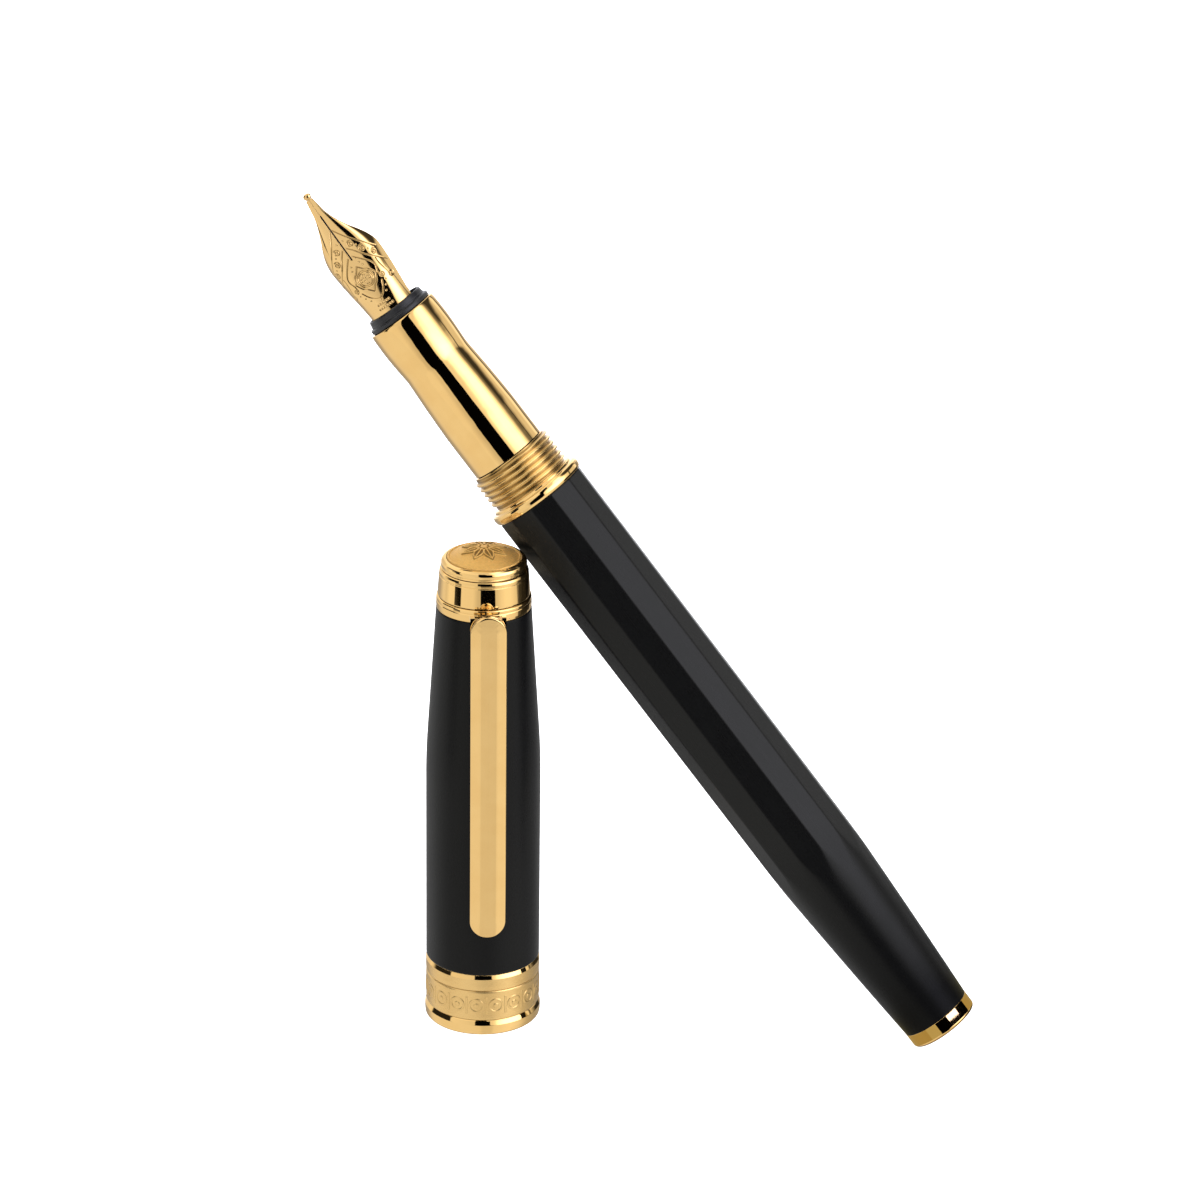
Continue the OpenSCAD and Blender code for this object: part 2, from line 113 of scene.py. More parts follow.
def fillet(points, closed, seg=5, keep=0.035):
    """Rounds the corners of a profile given as (r, z) or (r, z, radius), and adds
    a supporting point beside each corner so that long faces stay evenly lit."""
    n = len(points)
    out = []
    for i, p in enumerate(points):
        rad = p[2] if len(p) > 2 else 0.0
        p0 = np.array(p[:2], float)
        if not closed and i in (0, n - 1):
            out.append(p0)
            continue
        a = np.array(points[i - 1][:2], float)
        b = np.array(points[(i + 1) % n][:2], float)
        da, db = a - p0, b - p0
        la, lb = np.linalg.norm(da), np.linalg.norm(db)
        da, db = da / la, db / lb
        c = float(np.clip(da @ db, -1, 1))
        half = math.acos(c) / 2
        if rad > 0 and half < math.radians(89):
            cut = min(rad / math.tan(half), la * 0.46, lb * 0.46)
            r = cut * math.tan(half)
            centre = p0 + (da + db) / np.linalg.norm(da + db) * (r / math.sin(half))
            s, e = p0 + da * cut, p0 + db * cut
            if la - cut > 3 * keep:
                out.append(p0 + da * (cut + keep))
            a0 = math.atan2(*(s - centre)[::-1])
            a1 = math.atan2(*(e - centre)[::-1])
            d = (a1 - a0 + math.pi) % (2 * math.pi) - math.pi
            for t in range(seg + 1):
                ang = a0 + d * t / seg
                out.append(centre + r * np.array([math.cos(ang), math.sin(ang)]))
            if lb - cut > 3 * keep:
                out.append(p0 + db * (cut + keep))
        else:
            if la > 3 * keep and half < math.radians(86):
                out.append(p0 + da * keep)
            out.append(p0)
            if lb > 3 * keep and half < math.radians(86):
                out.append(p0 + db * keep)
    return out


def ring(r, z, n, phase=0.0):
    t = np.arange(n) * 2 * np.pi / n + phase
    return np.stack([r * np.cos(t), r * np.sin(t), np.full(n, z)], 1)


def lathe(profile, n=192, closed=True, seg=5):
    """Turned solid. A closed profile makes a ring; an open one starts and ends on the axis.
    The profile runs anticlockwise in (r, z), so that faces point outwards."""
    pts = fillet(profile, closed, seg)
    if closed:
        return loft([ring(p[0], p[1], n) for p in pts], torus=True)
    inner = pts[1:-1]
    return loft([ring(p[0], p[1], n) for p in inner], start=(0, 0, pts[0][1]), end=(0, 0, pts[-1][1]))


def smooth01(t):
    t = np.clip(t, 0, 1)
    return t * t * (3 - 2 * t)


def softmin(a, b, k):
    h = np.clip(0.5 + 0.5 * (b - a) / k, 0, 1)
    return b * (1 - h) + a * h - k * h * (1 - h)


def catmull(xs, ys, x):
    """Smooth curve through points, for outlines."""
    xs, ys = np.asarray(xs, float), np.asarray(ys, float)
    m = np.zeros_like(ys)
    d = np.diff(ys) / np.diff(xs)
    m[0], m[-1] = d[0], d[-1]
    for i in range(1, len(xs) - 1):
        m[i] = 0 if d[i - 1] * d[i] <= 0 else 2 / (1 / d[i - 1] + 1 / d[i])
    x = np.asarray(x, float)
    i = np.clip(np.searchsorted(xs, x) - 1, 0, len(xs) - 2)
    h = xs[i + 1] - xs[i]
    t = (x - xs[i]) / h
    return ((2 * t**3 - 3 * t**2 + 1) * ys[i] + (t**3 - 2 * t**2 + t) * h * m[i]
            + (-2 * t**3 + 3 * t**2) * ys[i + 1] + (t**3 - t**2) * h * m[i + 1])


# ---------------------------------------------------------------- materials


class Nodes:
    def __init__(self, name):
        self.mat = bpy.data.materials.new(name)
        self.mat.use_nodes = True
        self.t = self.mat.node_tree
        self.bsdf = self.t.nodes["Principled BSDF"]

    def new(self, kind, **kw):
        n = self.t.nodes.new(kind)
        for k, v in kw.items():
            setattr(n, k, v)
        return n

    def link(self, a, b):
        self.t.links.new(a, b)

    def math(self, op, a, b=None, c=None):
        n = self.new("ShaderNodeMath", operation=op)
        for i, x in enumerate((a, b, c)):
            if x is None:
                continue
            if isinstance(x, (int, float)):
                n.inputs[i].default_value = x
            else:
                self.link(x, n.inputs[i])
        return n.outputs[0]

    def loc(self):
        n = self.new("ShaderNodeAttribute", attribute_name="loc")
        return n.outputs["Vector"]

    def place(self):
        return self.new("ShaderNodeTexCoord").outputs["Object"]

    def scale(self, v, s):
        n = self.new("ShaderNodeVectorMath", operation="MULTIPLY")
        self.link(v, n.inputs[0])
        n.inputs[1].default_value = s
        return n.outputs[0]

    def polar(self, v, r=6.0):
        """(arc length round the axis, height, radius) from a place in millimetres."""
        s = self.new("ShaderNodeSeparateXYZ")
        self.link(v, s.inputs[0])
        a = self.math("ARCTAN2", s.outputs[1], s.outputs[0])
        c = self.new("ShaderNodeCombineXYZ")
        self.link(self.math("MULTIPLY", a, r), c.inputs[0])
        self.link(s.outputs[2], c.inputs[1])
        rad = self.math("SQRT", self.math("ADD", self.math("MULTIPLY", s.outputs[0], s.outputs[0]),
                                          self.math("MULTIPLY", s.outputs[1], s.outputs[1])))
        self.link(rad, c.inputs[2])
        return c.outputs[0]

    def noise(self, v, scale, detail=3.0, rough=0.55, dist=0.0):
        n = self.new("ShaderNodeTexNoise")
        n.inputs["Scale"].default_value = scale
        n.inputs["Detail"].default_value = detail
        n.inputs["Roughness"].default_value = rough
        n.inputs["Distortion"].default_value = dist
        self.link(v, n.inputs["Vector"])
        return n.outputs["Fac"]

    def ramp(self, x, lo, hi, a, b):
        n = self.new("ShaderNodeMapRange")
        self.link(x, n.inputs["Value"])
        for k, val in (("From Min", lo), ("From Max", hi), ("To Min", a), ("To Max", b)):
            n.inputs[k].default_value = val
        return n.outputs[0]

    def mix(self, x, a, b):
        n = self.new("ShaderNodeMix", data_type="RGBA")
        self.link(x, n.inputs["Factor"])
        for i, c in ((6, a), (7, b)):
            if isinstance(c, (tuple, list)):
                n.inputs[i].default_value = (*c[:3], 1)
            else:
                self.link(c, n.inputs[i])
        return n.outputs[2]

    def bump(self, h, dist, strength=1.0, after=None):
        n = self.new("ShaderNodeBump")
        n.inputs["Distance"].default_value = dist
        n.inputs["Strength"].default_value = strength
        self.link(h, n.inputs["Height"])
        if after is not None:
            self.link(after, n.inputs["Normal"])
        return n.outputs[0]

    def set(self, **kw):
        for k, v in kw.items():
            s = self.bsdf.inputs[k.replace("_", " ")]
            if isinstance(v, (int, float, tuple)):
                s.default_value = (*v, 1) if isinstance(v, tuple) and len(v) == 3 else v
            else:
                self.link(v, s)
        return self


def gold(name, color=(0.93, 0.61, 0.236), rough=0.07, brush=0.0, grain=0.0, wave=0.00001, seed=0.0, cut_shade=0.0, speck=0.0, haze=1.0):
    """Plated gold: very slight unevenness, faint polishing lines round the axis, optional satin grain,
    painted shade where the cut attribute marks cut lines, valleys and relief edges, and a paler tone where gold is seen
    in gold."""
    n = Nodes(name)
    v = n.loc()
    pol = n.polar(v)
    big = n.noise(n.scale(v, (1, 1, 1)), 0.35 + seed, 2.0)
    lines = n.noise(n.scale(pol, (0.12, 14.0, 2.0)), 2.2, 4.0, 0.6)
    fine = n.noise(v, 26.0, 3.0, 0.6)
    dark = tuple(c * k for c, k in zip(color, (0.97, 0.95, 0.92)))
    col = n.mix(n.ramp(big, 0.35, 0.65, 0, 1), color, dark)
    if speck > 0:
        sand = n.noise(v, 9.0, 2.0, 0.7)
        col = n.mix(n.ramp(sand, 0.38, 0.62, 0, speck), col, tuple(c * k for c, k in zip(color, (0.55, 0.50, 0.42))))
    if cut_shade > 0:
        # painted shade: the colour darkens towards brown where the cut attribute is set
        cut_shade_mask = n.new("ShaderNodeAttribute", attribute_name="cut").outputs["Fac"]
        col = n.mix(n.math("MULTIPLY", cut_shade_mask, cut_shade), col, (0.30, 0.17, 0.045))
    again = n.new("ShaderNodeLightPath").outputs["Is Glossy Ray"]
    col = n.mix(n.math("MULTIPLY", again, 0.85), col, (0.90, 0.80, 0.60))
    n.set(Metallic=1.0, Base_Color=col)
    r = n.math("ADD", n.ramp(lines, 0.3, 0.7, rough * 0.8, rough * 1.25), n.ramp(fine, 0.4, 0.8, 0.0, 0.012 * haze + grain * 0.3))
    n.set(Roughness=r)
    nor = n.bump(big, wave, 1.0)
    if brush > 0:
        nor = n.bump(lines, 0.0000012 * brush, 1.0, nor)
    if grain > 0:
        nor = n.bump(fine, 0.0000060 * grain, 1.0, nor)
    n.link(nor, n.bsdf.inputs["Normal"])
    return n.mat


def black_resin(name, deep=False):
    """Satin black barrel resin: dense fine grain, faint long polishing marks, soft edge sheen."""
    n = Nodes(name)
    v = n.loc()
    pol = n.polar(v)
    grain = n.noise(v, 22.0, 4.0, 0.65)
    marks = n.noise(n.scale(pol, (9.0, 0.12, 1.0)), 1.6, 3.0, 0.6)
    cloud = n.noise(v, 0.4, 2.0)
    n.set(Base_Color=n.mix(n.ramp(grain, 0.3, 0.7, 0, 1), (0.0028, 0.0028, 0.0030), (0.0050, 0.0050, 0.0053)))
    n.set(Roughness=n.math("ADD", n.ramp(marks, 0.3, 0.7, 0.25, 0.31), n.ramp(cloud, 0.3, 0.7, 0.0, 0.03)))
    n.bsdf.inputs["Specular Tint"].default_value = (1.0, 0.99, 0.90, 1)
    if deep:
        # the turned tail is polished finer and reads darker than the facets
        z = n.new("ShaderNodeSeparateXYZ")
        n.link(v, z.inputs[0])
        n.set(Specular_IOR_Level=n.ramp(z.outputs[2], 5.0, 30.0, 0.085, 0.215))
    else:
        n.set(Specular_IOR_Level=0.155)
    nor = n.bump(grain, 0.0000055, 1.0)
    nor = n.bump(marks, 0.0000015, 1.0, nor)
    n.link(nor, n.bsdf.inputs["Normal"])
    return n.mat


def plastic(name, color, rough=0.42, spec=0.35, grain=1.0):
    n = Nodes(name)
    v = n.loc()
    fine = n.noise(v, 14.0, 3.0)
    big = n.noise(v, 1.1, 2.0)
    n.set(Base_Color=n.mix(n.ramp(big, 0.3, 0.7, 0, 1), color, tuple(c * 1.35 + 0.001 for c in color)))
    n.set(Roughness=n.ramp(fine, 0.3, 0.7, rough * 0.9, rough * 1.12), Specular_IOR_Level=spec)
    n.link(n.bump(fine, 0.000004 * grain, 1.0), n.bsdf.inputs["Normal"])
    return n.mat


# CAD nodes have no loc attribute, so their materials read the object's own place, in metres.
def turned_metal(name, color, rough=0.24):
    """Lathe-turned metal seen inside: fine tool marks, slight tarnish."""
    n = Nodes(name)
    v = n.scale(n.place(), (1000, 1000, 1000))
    fine = n.noise(v, 9.0, 4.0, 0.65)
    tint = n.noise(v, 0.8, 3.0)
    n.set(Metallic=1.0, Base_Color=n.mix(n.ramp(tint, 0.35, 0.7, 0, 1), color, tuple(c * 0.8 for c in color)))
    n.set(Roughness=n.ramp(fine, 0.3, 0.7, rough * 0.8, rough * 1.3))
    n.link(n.bump(fine, 0.000003, 1.0), n.bsdf.inputs["Normal"])
    return n.mat


def moulded(name, color, rough=0.4):
    n = Nodes(name)
    v = n.scale(n.place(), (1000, 1000, 1000))
    fine = n.noise(v, 12.0, 3.0)
    flow = n.noise(n.scale(v, (0.6, 0.6, 1.4)), 1.2, 2.0)
    n.set(Base_Color=n.mix(n.ramp(flow, 0.3, 0.7, 0, 1), color, tuple(c * 1.3 + 0.001 for c in color)))
    n.set(Roughness=n.ramp(fine, 0.3, 0.7, rough * 0.85, rough * 1.15))
    n.link(n.bump(fine, 0.000004, 1.0), n.bsdf.inputs["Normal"])
    return n.mat


def clear_plastic(name):
    n = Nodes(name)
    v = n.scale(n.place(), (1000, 1000, 1000))
    flow = n.noise(n.scale(v, (1, 1, 0.3)), 0.9, 2.0)
    n.set(Base_Color=n.mix(n.ramp(flow, 0.3, 0.7, 0, 1), (0.86, 0.91, 0.93), (0.93, 0.95, 0.95)))
    n.set(Transmission_Weight=0.92, Roughness=n.ramp(flow, 0.3, 0.7, 0.04, 0.09), IOR=1.49)
    n.link(n.bump(flow, 0.00001, 0.6), n.bsdf.inputs["Normal"])
    return n.mat


M_BLACK = black_resin("black_resin")
M_BARREL = black_resin("black_resin_barrel", True)
M_GOLD = gold("polished_gold", rough=0.035, brush=0.35)
M_TAIL = gold("polished_gold_tail", rough=0.035, brush=0.35, cut_shade=0.85)
M_GRIP = gold("polished_gold_grip", rough=0.035, brush=0.2, seed=0.1)
M_THREAD = gold("thread_gold", color=(0.86, 0.565, 0.215), rough=0.20, brush=0.2, grain=0.1, cut_shade=0.9)
# darker copy of the clip gold: painted shade for the parts under the clip head
M_KNUCKLE_SHADE = gold("clip_knuckle_gold_shaded", color=(0.42, 0.26, 0.09), rough=0.14)
M_SATIN = gold("satin_gold", color=(0.87, 0.585, 0.235), rough=0.24, brush=0.35, grain=0.7, cut_shade=0.55)
M_SHADE = gold("gold_in_the_notch", color=(0.16, 0.09, 0.025), rough=0.2)
M_DOME = gold("sandblasted_gold", color=(0.97, 0.63, 0.205), rough=0.19, grain=5.0, cut_shade=1.0, speck=0.42)
M_NIB = gold("nib_gold", color=(0.93, 0.62, 0.26), rough=0.07, grain=0.06, cut_shade=0.75)
M_CLIP = gold("clip_gold", color=(0.93, 0.615, 0.245), rough=0.08, grain=0.03, brush=0.2, wave=0.000001)
M_TIP = gold("tipping_alloy", color=(0.85, 0.56, 0.24), rough=0.07)
M_RING = plastic("front_ring_black", (0.012, 0.012, 0.013), rough=0.34, spec=0.4)
M_FEED = plastic("feed_black", (0.010, 0.010, 0.011), rough=0.42, spec=0.35)

I_BRASS = turned_metal("inner_brass", (0.72, 0.52, 0.25))
I_STEEL = turned_metal("inner_steel", (0.62, 0.63, 0.66), 0.2)
I_GOLD = turned_metal("inner_gold", (0.88, 0.62, 0.27), 0.14)
I_PLASTIC = moulded("inner_plastic", (0.014, 0.014, 0.015))
I_RUBBER = moulded("inner_rubber", (0.008, 0.008, 0.008), 0.62)
I_CLEAR = clear_plastic("inner_clear")

INNER = {
    "barrel_liner": I_BRASS, "section_o_ring": I_RUBBER, "section_core": I_PLASTIC, "section_thread_bush": I_BRASS,
    "ink_nipple": I_PLASTIC, "converter_tube": I_CLEAR, "converter_band": I_GOLD, "rod_guide_nut": I_PLASTIC,
    "converter_knob": I_PLASTIC, "piston_rod": I_STEEL, "piston_head": I_PLASTIC, "piston_seals": I_RUBBER,
    "cap_liner": I_PLASTIC, "cap_thread_insert": I_BRASS, "finial_screw": I_STEEL, "finial_nut": I_BRASS,
    "clip_pin": I_STEEL, "clip_spring": I_STEEL,
}
for node, mat in INNER.items():
    ob = frame["nodes"][node]
    ob.data.materials.clear()
    ob.data.materials.append(mat)
    ob.data.polygons.foreach_set("use_smooth", [True] * len(ob.data.polygons))
    ob.data.set_sharp_from_angle(angle=math.radians(32))

# ---------------------------------------------------------------- barrel
BR, FACETS, ROLL = 5.6, 12, 7.5
AP = BR * math.cos(math.pi / FACETS)
TAIL_R, TAIL_LEN, BEND = 4.21, 2.25, 0.22
BARREL_END = 78.0


def taper(w):
    t = (w - TAIL_LEN - 0.02) / 25.25
    r = TAIL_R + (BR - TAIL_R - 0.005) * (t + BEND * t * (1 - t))
    return np.where(t > 1, BR - 0.005 + (w - 27.52) * 0.06, r)


step = np.array([-15, -14.75, -14.45, -14.1, -13.5, -12.3, -10.2, -7.2, -3.8, 0, 3.8, 7.2, 10.2, 12.3, 13.5, 14.1, 14.45, 14.75])
th = np.radians(np.concatenate([step + 30 * k for k in range(FACETS)]) + 15 + ROLL)
offs = np.radians(np.tile(step, FACETS))
flat = AP / np.cos(offs)
edge = softmin(flat, np.full_like(flat, BR - 0.022), 0.03)


def barrel_ring(w, r=None):
    # the twelve-sided body widens very slightly towards the thread
    body = edge * (1 + 0.0012 * (w - 28) / BR)
    rr = softmin(body, np.full_like(edge, float(taper(np.array(w)))), 0.035) if r is None else np.full_like(edge, r)
    if r is None and w > BARREL_END - 0.09:
        rr = rr - 0.05 * ((w - (BARREL_END - 0.09)) / 0.09) ** 2
    if r is None and w < TAIL_LEN + 0.08:
        rr = rr - 0.03 * ((TAIL_LEN + 0.08 - w) / 0.06) ** 2
    return np.stack([rr * np.cos(th), rr * np.sin(th), np.full_like(rr, w)], 1)


ws = np.concatenate([[2.27, 2.29, 2.33, 2.4], np.linspace(2.65, 21.5, 34), np.linspace(21.8, 28.6, 56),
                     np.linspace(30, 76, 16), [77.5, 77.8, 77.91, 77.94, 77.97, 78.0]])
rings = [barrel_ring(6.2, 0.9), barrel_ring(6.2, 1.62), barrel_ring(5.9, 1.64), barrel_ring(2.35, 1.64), barrel_ring(2.27, 1.7), barrel_ring(2.27, 4.0)]
rings += [barrel_ring(w) for w in ws]
rings += [barrel_ring(w, r) for w, r in ((78.0, 5.1), (78.0, 4.95), (77.95, 4.9), (70.1, 4.9), (70.02, 4.85), (70.02, 4.3), (69.9, 4.25),
                                          (24.2, 4.25), (24.02, 4.2), (24.02, 3.65), (23.9, 3.6), (8.2, 3.6), (8.02, 3.4), (8.02, 1.5))]
v, f = loft(rings, start=(0, 0, 6.2), end=(0, 0, 8.02))
make("barrel", v, f, PEN, M_BARREL, "barrel", ["barrel_shell"], angle=50)

# gold end of the tail
v, f = lathe([(0, 0.35), (4.20, 0.35, 0.43), (4.215, 1.3, 0.3), (4.22, 2.25, 0.03), (1.6, 2.25, 0.05), (1.6, 5.9, 0.1), (0, 5.9)], 192, closed=False, seg=12)
# painted shade on the lower rim of the tail end, through the cut attribute
make("tail_end", v, f, PEN, M_TAIL, "barrel", ["tail_finial"], extra={"cut": np.where(v[:, 2] < 0.62, 0.9, 0.0)})

# ---------------------------------------------------------------- collar with a real helical thread
N = 288
ang = np.arange(N) * 2 * np.pi / N
ROOT, CREST, PITCH = 4.7, 5.05, 0.69
T0, T1 = 79.72, 83.72


def thread_r(w):
    ph = (w - T0) / PITCH + ang / (2 * np.pi)
    s = (0.5 + 0.5 * np.cos(2 * np.pi * ph)) ** 0.8
    fade = smooth01((w - T0) / 0.35) * smooth01((T1 - w) / 0.30)
    return ROOT + (CREST - ROOT) * s * fade


bead = fillet([(4.87, 70.1), (4.87, 78.0), (5.50, 78.02, 0.06), (5.68, 78.12, 0.2), (5.82, 78.38, 0.25), (5.86, 78.78, 0.3), (5.76, 79.08, 0.22),
               (5.50, 79.22, 0.1), (5.30, 79.25, 0.05), (5.26, 79.33, 0.05), (5.22, 79.48, 0.06), (5.04, 79.58, 0.05), (4.74, 79.62, 0.06), (4.70, 79.7)], False, 6)
rings = [ring(p[0], p[1], N) for p in bead]
for w in np.linspace(79.74, 83.76, 136):
    r = thread_r(w)
    rings.append(np.stack([r * np.cos(ang), r * np.sin(ang), np.full(N, w)], 1))
inner = fillet([(4.70, 83.78), (4.66, 83.88, 0.04), (4.4, 83.9, 0.04), (4.33, 83.8, 0.03), (4.33, 82.95, 0.03), (4.15, 82.9, 0.03)]
               + [(q, 72.4 + 0.75 * (i + k), 0.04) for i in range(12, -1, -1) for q, k in ((4.15, 0.72), (3.98, 0.46), (3.98, 0.26), (4.15, 0.0))]
               + [(4.15, 70.12, 0.05), (4.87, 70.1)], False, 3)
rings += [ring(p[0], p[1], N) for p in inner[1:-1]]
v, f = loft(rings, torus=True)
rr_ = np.hypot(v[:, 0], v[:, 1])
# painted shade in the thread valleys, passed to the thread colour through the cut attribute
valley_shade = np.clip((CREST - 0.06 - rr_) / (CREST - ROOT - 0.1), 0, 1) * ((v[:, 2] > 79.5) & (v[:, 2] < 83.8) & (rr_ > 4.6))
collar = make("collar", v, f, PEN, M_GOLD, "barrel", ["thread_collar"], angle=50, extra={"cut": valley_shade})
collar.data.materials.append(M_THREAD)
nth = len(bead) + 136
collar.data.polygons.foreach_set("material_index", [1 if len(bead) - 4 <= i // N < nth else 0 for i in range(len(collar.data.polygons))])

# ---------------------------------------------------------------- section
GW = [83.97, 86, 89.0, 90.4, 92.2, 93.9, 95.4, 96.55, 97.25, 97.9, 98.7, 99.9, 101.1, 102.1, 103.0, 103.5, 103.72]
GR = [4.48, 4.48, 4.48, 4.445, 4.375, 4.295, 4.205, 4.13, 4.10, 4.13, 4.185, 4.25, 4.285, 4.28, 4.255, 4.225, 4.19]
w_ = np.concatenate([[84.0], np.linspace(84.2, 103.7, 120)])
r_ = catmull(GW, GR, w_)
outer = [(4.38, 83.97), (4.45, 83.98)] + list(zip(r_, w_)) + [(4.175, 103.78), (4.14, 103.835), (4.08, 103.87), (3.98, 103.88), (3.76, 103.88)]
outer += [(3.76, 103.7), (3.76, 84.1), (3.76, 83.97), (4.2, 83.97)]
rings = [ring(p[0], p[1], 256) for p in outer]
v, f = loft(rings, torus=True)
make("grip", v, f, PEN, M_GRIP, "section", ["grip_shell"], angle=45)

v, f = lathe([(3.19, 103.92, 0.03), (3.80, 103.92, 0.06), (3.885, 104.0, 0.07), (3.885, 104.34, 0.05), (3.80, 104.43, 0.06), (3.63, 104.47, 0.05), (3.58, 104.56, 0.06),
              (3.56, 104.72, 0.03), (3.52, 104.75, 0.02), (3.53, 104.80, 0.02), (3.47, 105.18, 0.1), (3.38, 105.31, 0.06), (3.26, 105.31, 0.05), (3.19, 105.25, 0.03)], 256, seg=5)
make("front_ring_black", v, f, PEN, M_RING, "section", ["front_ring"])

# ---------------------------------------------------------------- nib
TIP_W = 120.55


def nib_hw(w):
    w = np.asarray(w, float)
    a = 2.7 + 0.63 * smooth01((w - 103.6) / 8.7)
    b = 3.33 - 1.28 * np.clip((w - 112.3) / 3.3, 0, 1) ** 1.65
    c = 2.05 - 1.37 * (1 - np.clip(1 - (w - 115.6) / 3.4, 0, 1) ** 1.4)
    d = 0.68 - 0.26 * (w - 119) / (TIP_W - 119)
    return np.where(w < 112.3, a, np.where(w < 115.6, b, np.where(w < 119, c, d)))


def nib_y(w):
    w = np.asarray(w, float)
    return np.where(w < 109, 3.05, 3.05 - 1.15 * np.clip((w - 109) / (TIP_W - 109), 0, 2) ** 1.7)


def nib_rad(w):
    return 3.05 + 0.85 * smooth01((np.asarray(w, float) - 105) / 9)


def seg_dist(a, y, pts):
    """Distance from each (a, y) to a polyline."""
    best = np.full(a.shape, 1e9)
    for (x0, y0), (x1, y1) in zip(pts[:-1], pts[1:]):
        dx, dy = x1 - x0, y1 - y0
        L = dx * dx + dy * dy + 1e-12
        t = np.clip(((a - x0) * dx + (y - y0) * dy) / L, 0, 1)
        best = np.minimum(best, np.hypot(a - x0 - t * dx, y - y0 - t * dy))
    return best


def spline(p, n=9):
    """Smooth line through points."""
    p = [np.array(q, float) for q in p]
    p = [2 * p[0] - p[1]] + p + [2 * p[-1] - p[-2]]
    out = []
    for a, b, c, d in zip(p[:-3], p[1:-2], p[2:-1], p[3:]):
        for t in np.linspace(0, 1, n, endpoint=False):
            out.append(tuple(0.5 * (2 * b + (c - a) * t + (2 * a - 5 * b + 4 * c - d) * t**2 + (3 * b - a - 3 * c + d) * t**3)))
    out.append(tuple(p[-2]))
    return out


def volute(cx, cy, r0, a0, turns=1.4, hand=1, n=30):
    t = np.linspace(0, 1, n)
    r = r0 * (1 - 0.78 * t)
    a = math.radians(a0) + hand * t * turns * 2 * math.pi
    return [(cx + x * math.cos(y), cy + x * math.sin(y)) for x, y in zip(r, a)]


def engraving(a, y):
    """How deep the ornament is cut, 0 to 1: border lines, scrolls, a plain medallion and rows of beads.
    a is measured round the nib from its ridge, y from the black ring towards the tip."""
    s = np.abs(a)
    lines = [
        spline([(0.15, 11.0), (0.62, 10.2), (1.2, 9.35), (2.26, 8.07), (3.4, 6.75)]),
        spline([(0.27, 8.45), (0.9, 7.75), (1.58, 6.85), (2.8, 5.64), (3.6, 4.8)]),
        spline([(0.3, 7.35), (0.85, 6.75), (1.35, 6.2), (1.8, 5.6), (1.9, 5.05), (1.66, 4.4), (1.62, 3.9)]),
        volute(1.93, 3.85, 0.33, 180, 1.3, 1),
        spline([(2.45, 5.75), (2.42, 5.1), (2.6, 4.3), (2.72, 3.7), (2.6, 3.2)]),
        volute(2.98, 3.3, 0.36, 190, 1.3, 1),
        spline([(0.0, 1.75), (0.55, 2.05), (1.05, 2.6), (1.45, 3.3)]),
        volute(0.98, 8.62, 0.40, 60, 1.5, 1),
        volute(1.82, 7.50, 0.42, 60, 1.5, 1),
        volute(2.80, 6.42, 0.38, 60, 1.5, 1),
        spline([(0.0, 6.12), (0.5, 5.55), (0.98, 5.2), (1.42, 4.45)]),
        spline([(1.42, 4.45), (0.98, 3.7), (0.5, 3.3), (0.0, 2.75)]),
    ]
    d = np.full(a.shape, 1e9)
    for p in lines:
        d = np.minimum(d, seg_dist(s, y, p))
    depth = 1.0 - smooth01((d - 0.036) / 0.045)
    # medallion: two rings and a six-petal rosette
    rm = np.hypot(a, y - 4.45)
    for r0 in (0.98, 0.80):
        depth = np.maximum(depth, 1 - smooth01((np.abs(rm - r0) - 0.030) / 0.045))
    t = np.arctan2(y - 4.45, a)
    petal = 0.60 * np.abs(np.cos(2 * t)) ** 0.7
    depth = np.maximum(depth, (1 - smooth01((np.abs(rm - petal) - 0.030) / 0.045)) * (rm < 0.7))
    # bead rows near the ring
    for row, (y0, half) in enumerate(((1.62, 0.30), (1.15, 0.85), (0.62, 1.15))):
        pitch = 0.30
        k = np.round((a + (row % 2) * pitch / 2) / pitch)
        c = k * pitch - (row % 2) * pitch / 2
        bead = np.hypot(a - c, (y - y0) * 0.62)
        depth = np.maximum(depth, (1 - smooth01((bead - 0.06) / 0.05)) * (np.abs(c) < half))
    # small seeds between the scrolls
    for cx, cy in ((0.42, 9.35), (1.45, 8.2), (2.35, 7.05), (0.55, 6.4), (0.75, 5.95), (1.1, 2.05), (1.5, 2.6), (1.9, 3.15)):
        depth = np.maximum(depth, 1 - smooth01((np.hypot(s - cx, y - cy) - 0.06) / 0.05))
    return depth


SLIT0, SLIT1 = 112.2, 118.2
rows_w = np.concatenate([np.linspace(92, 104.6, 22), np.linspace(104.75, TIP_W, 430)])


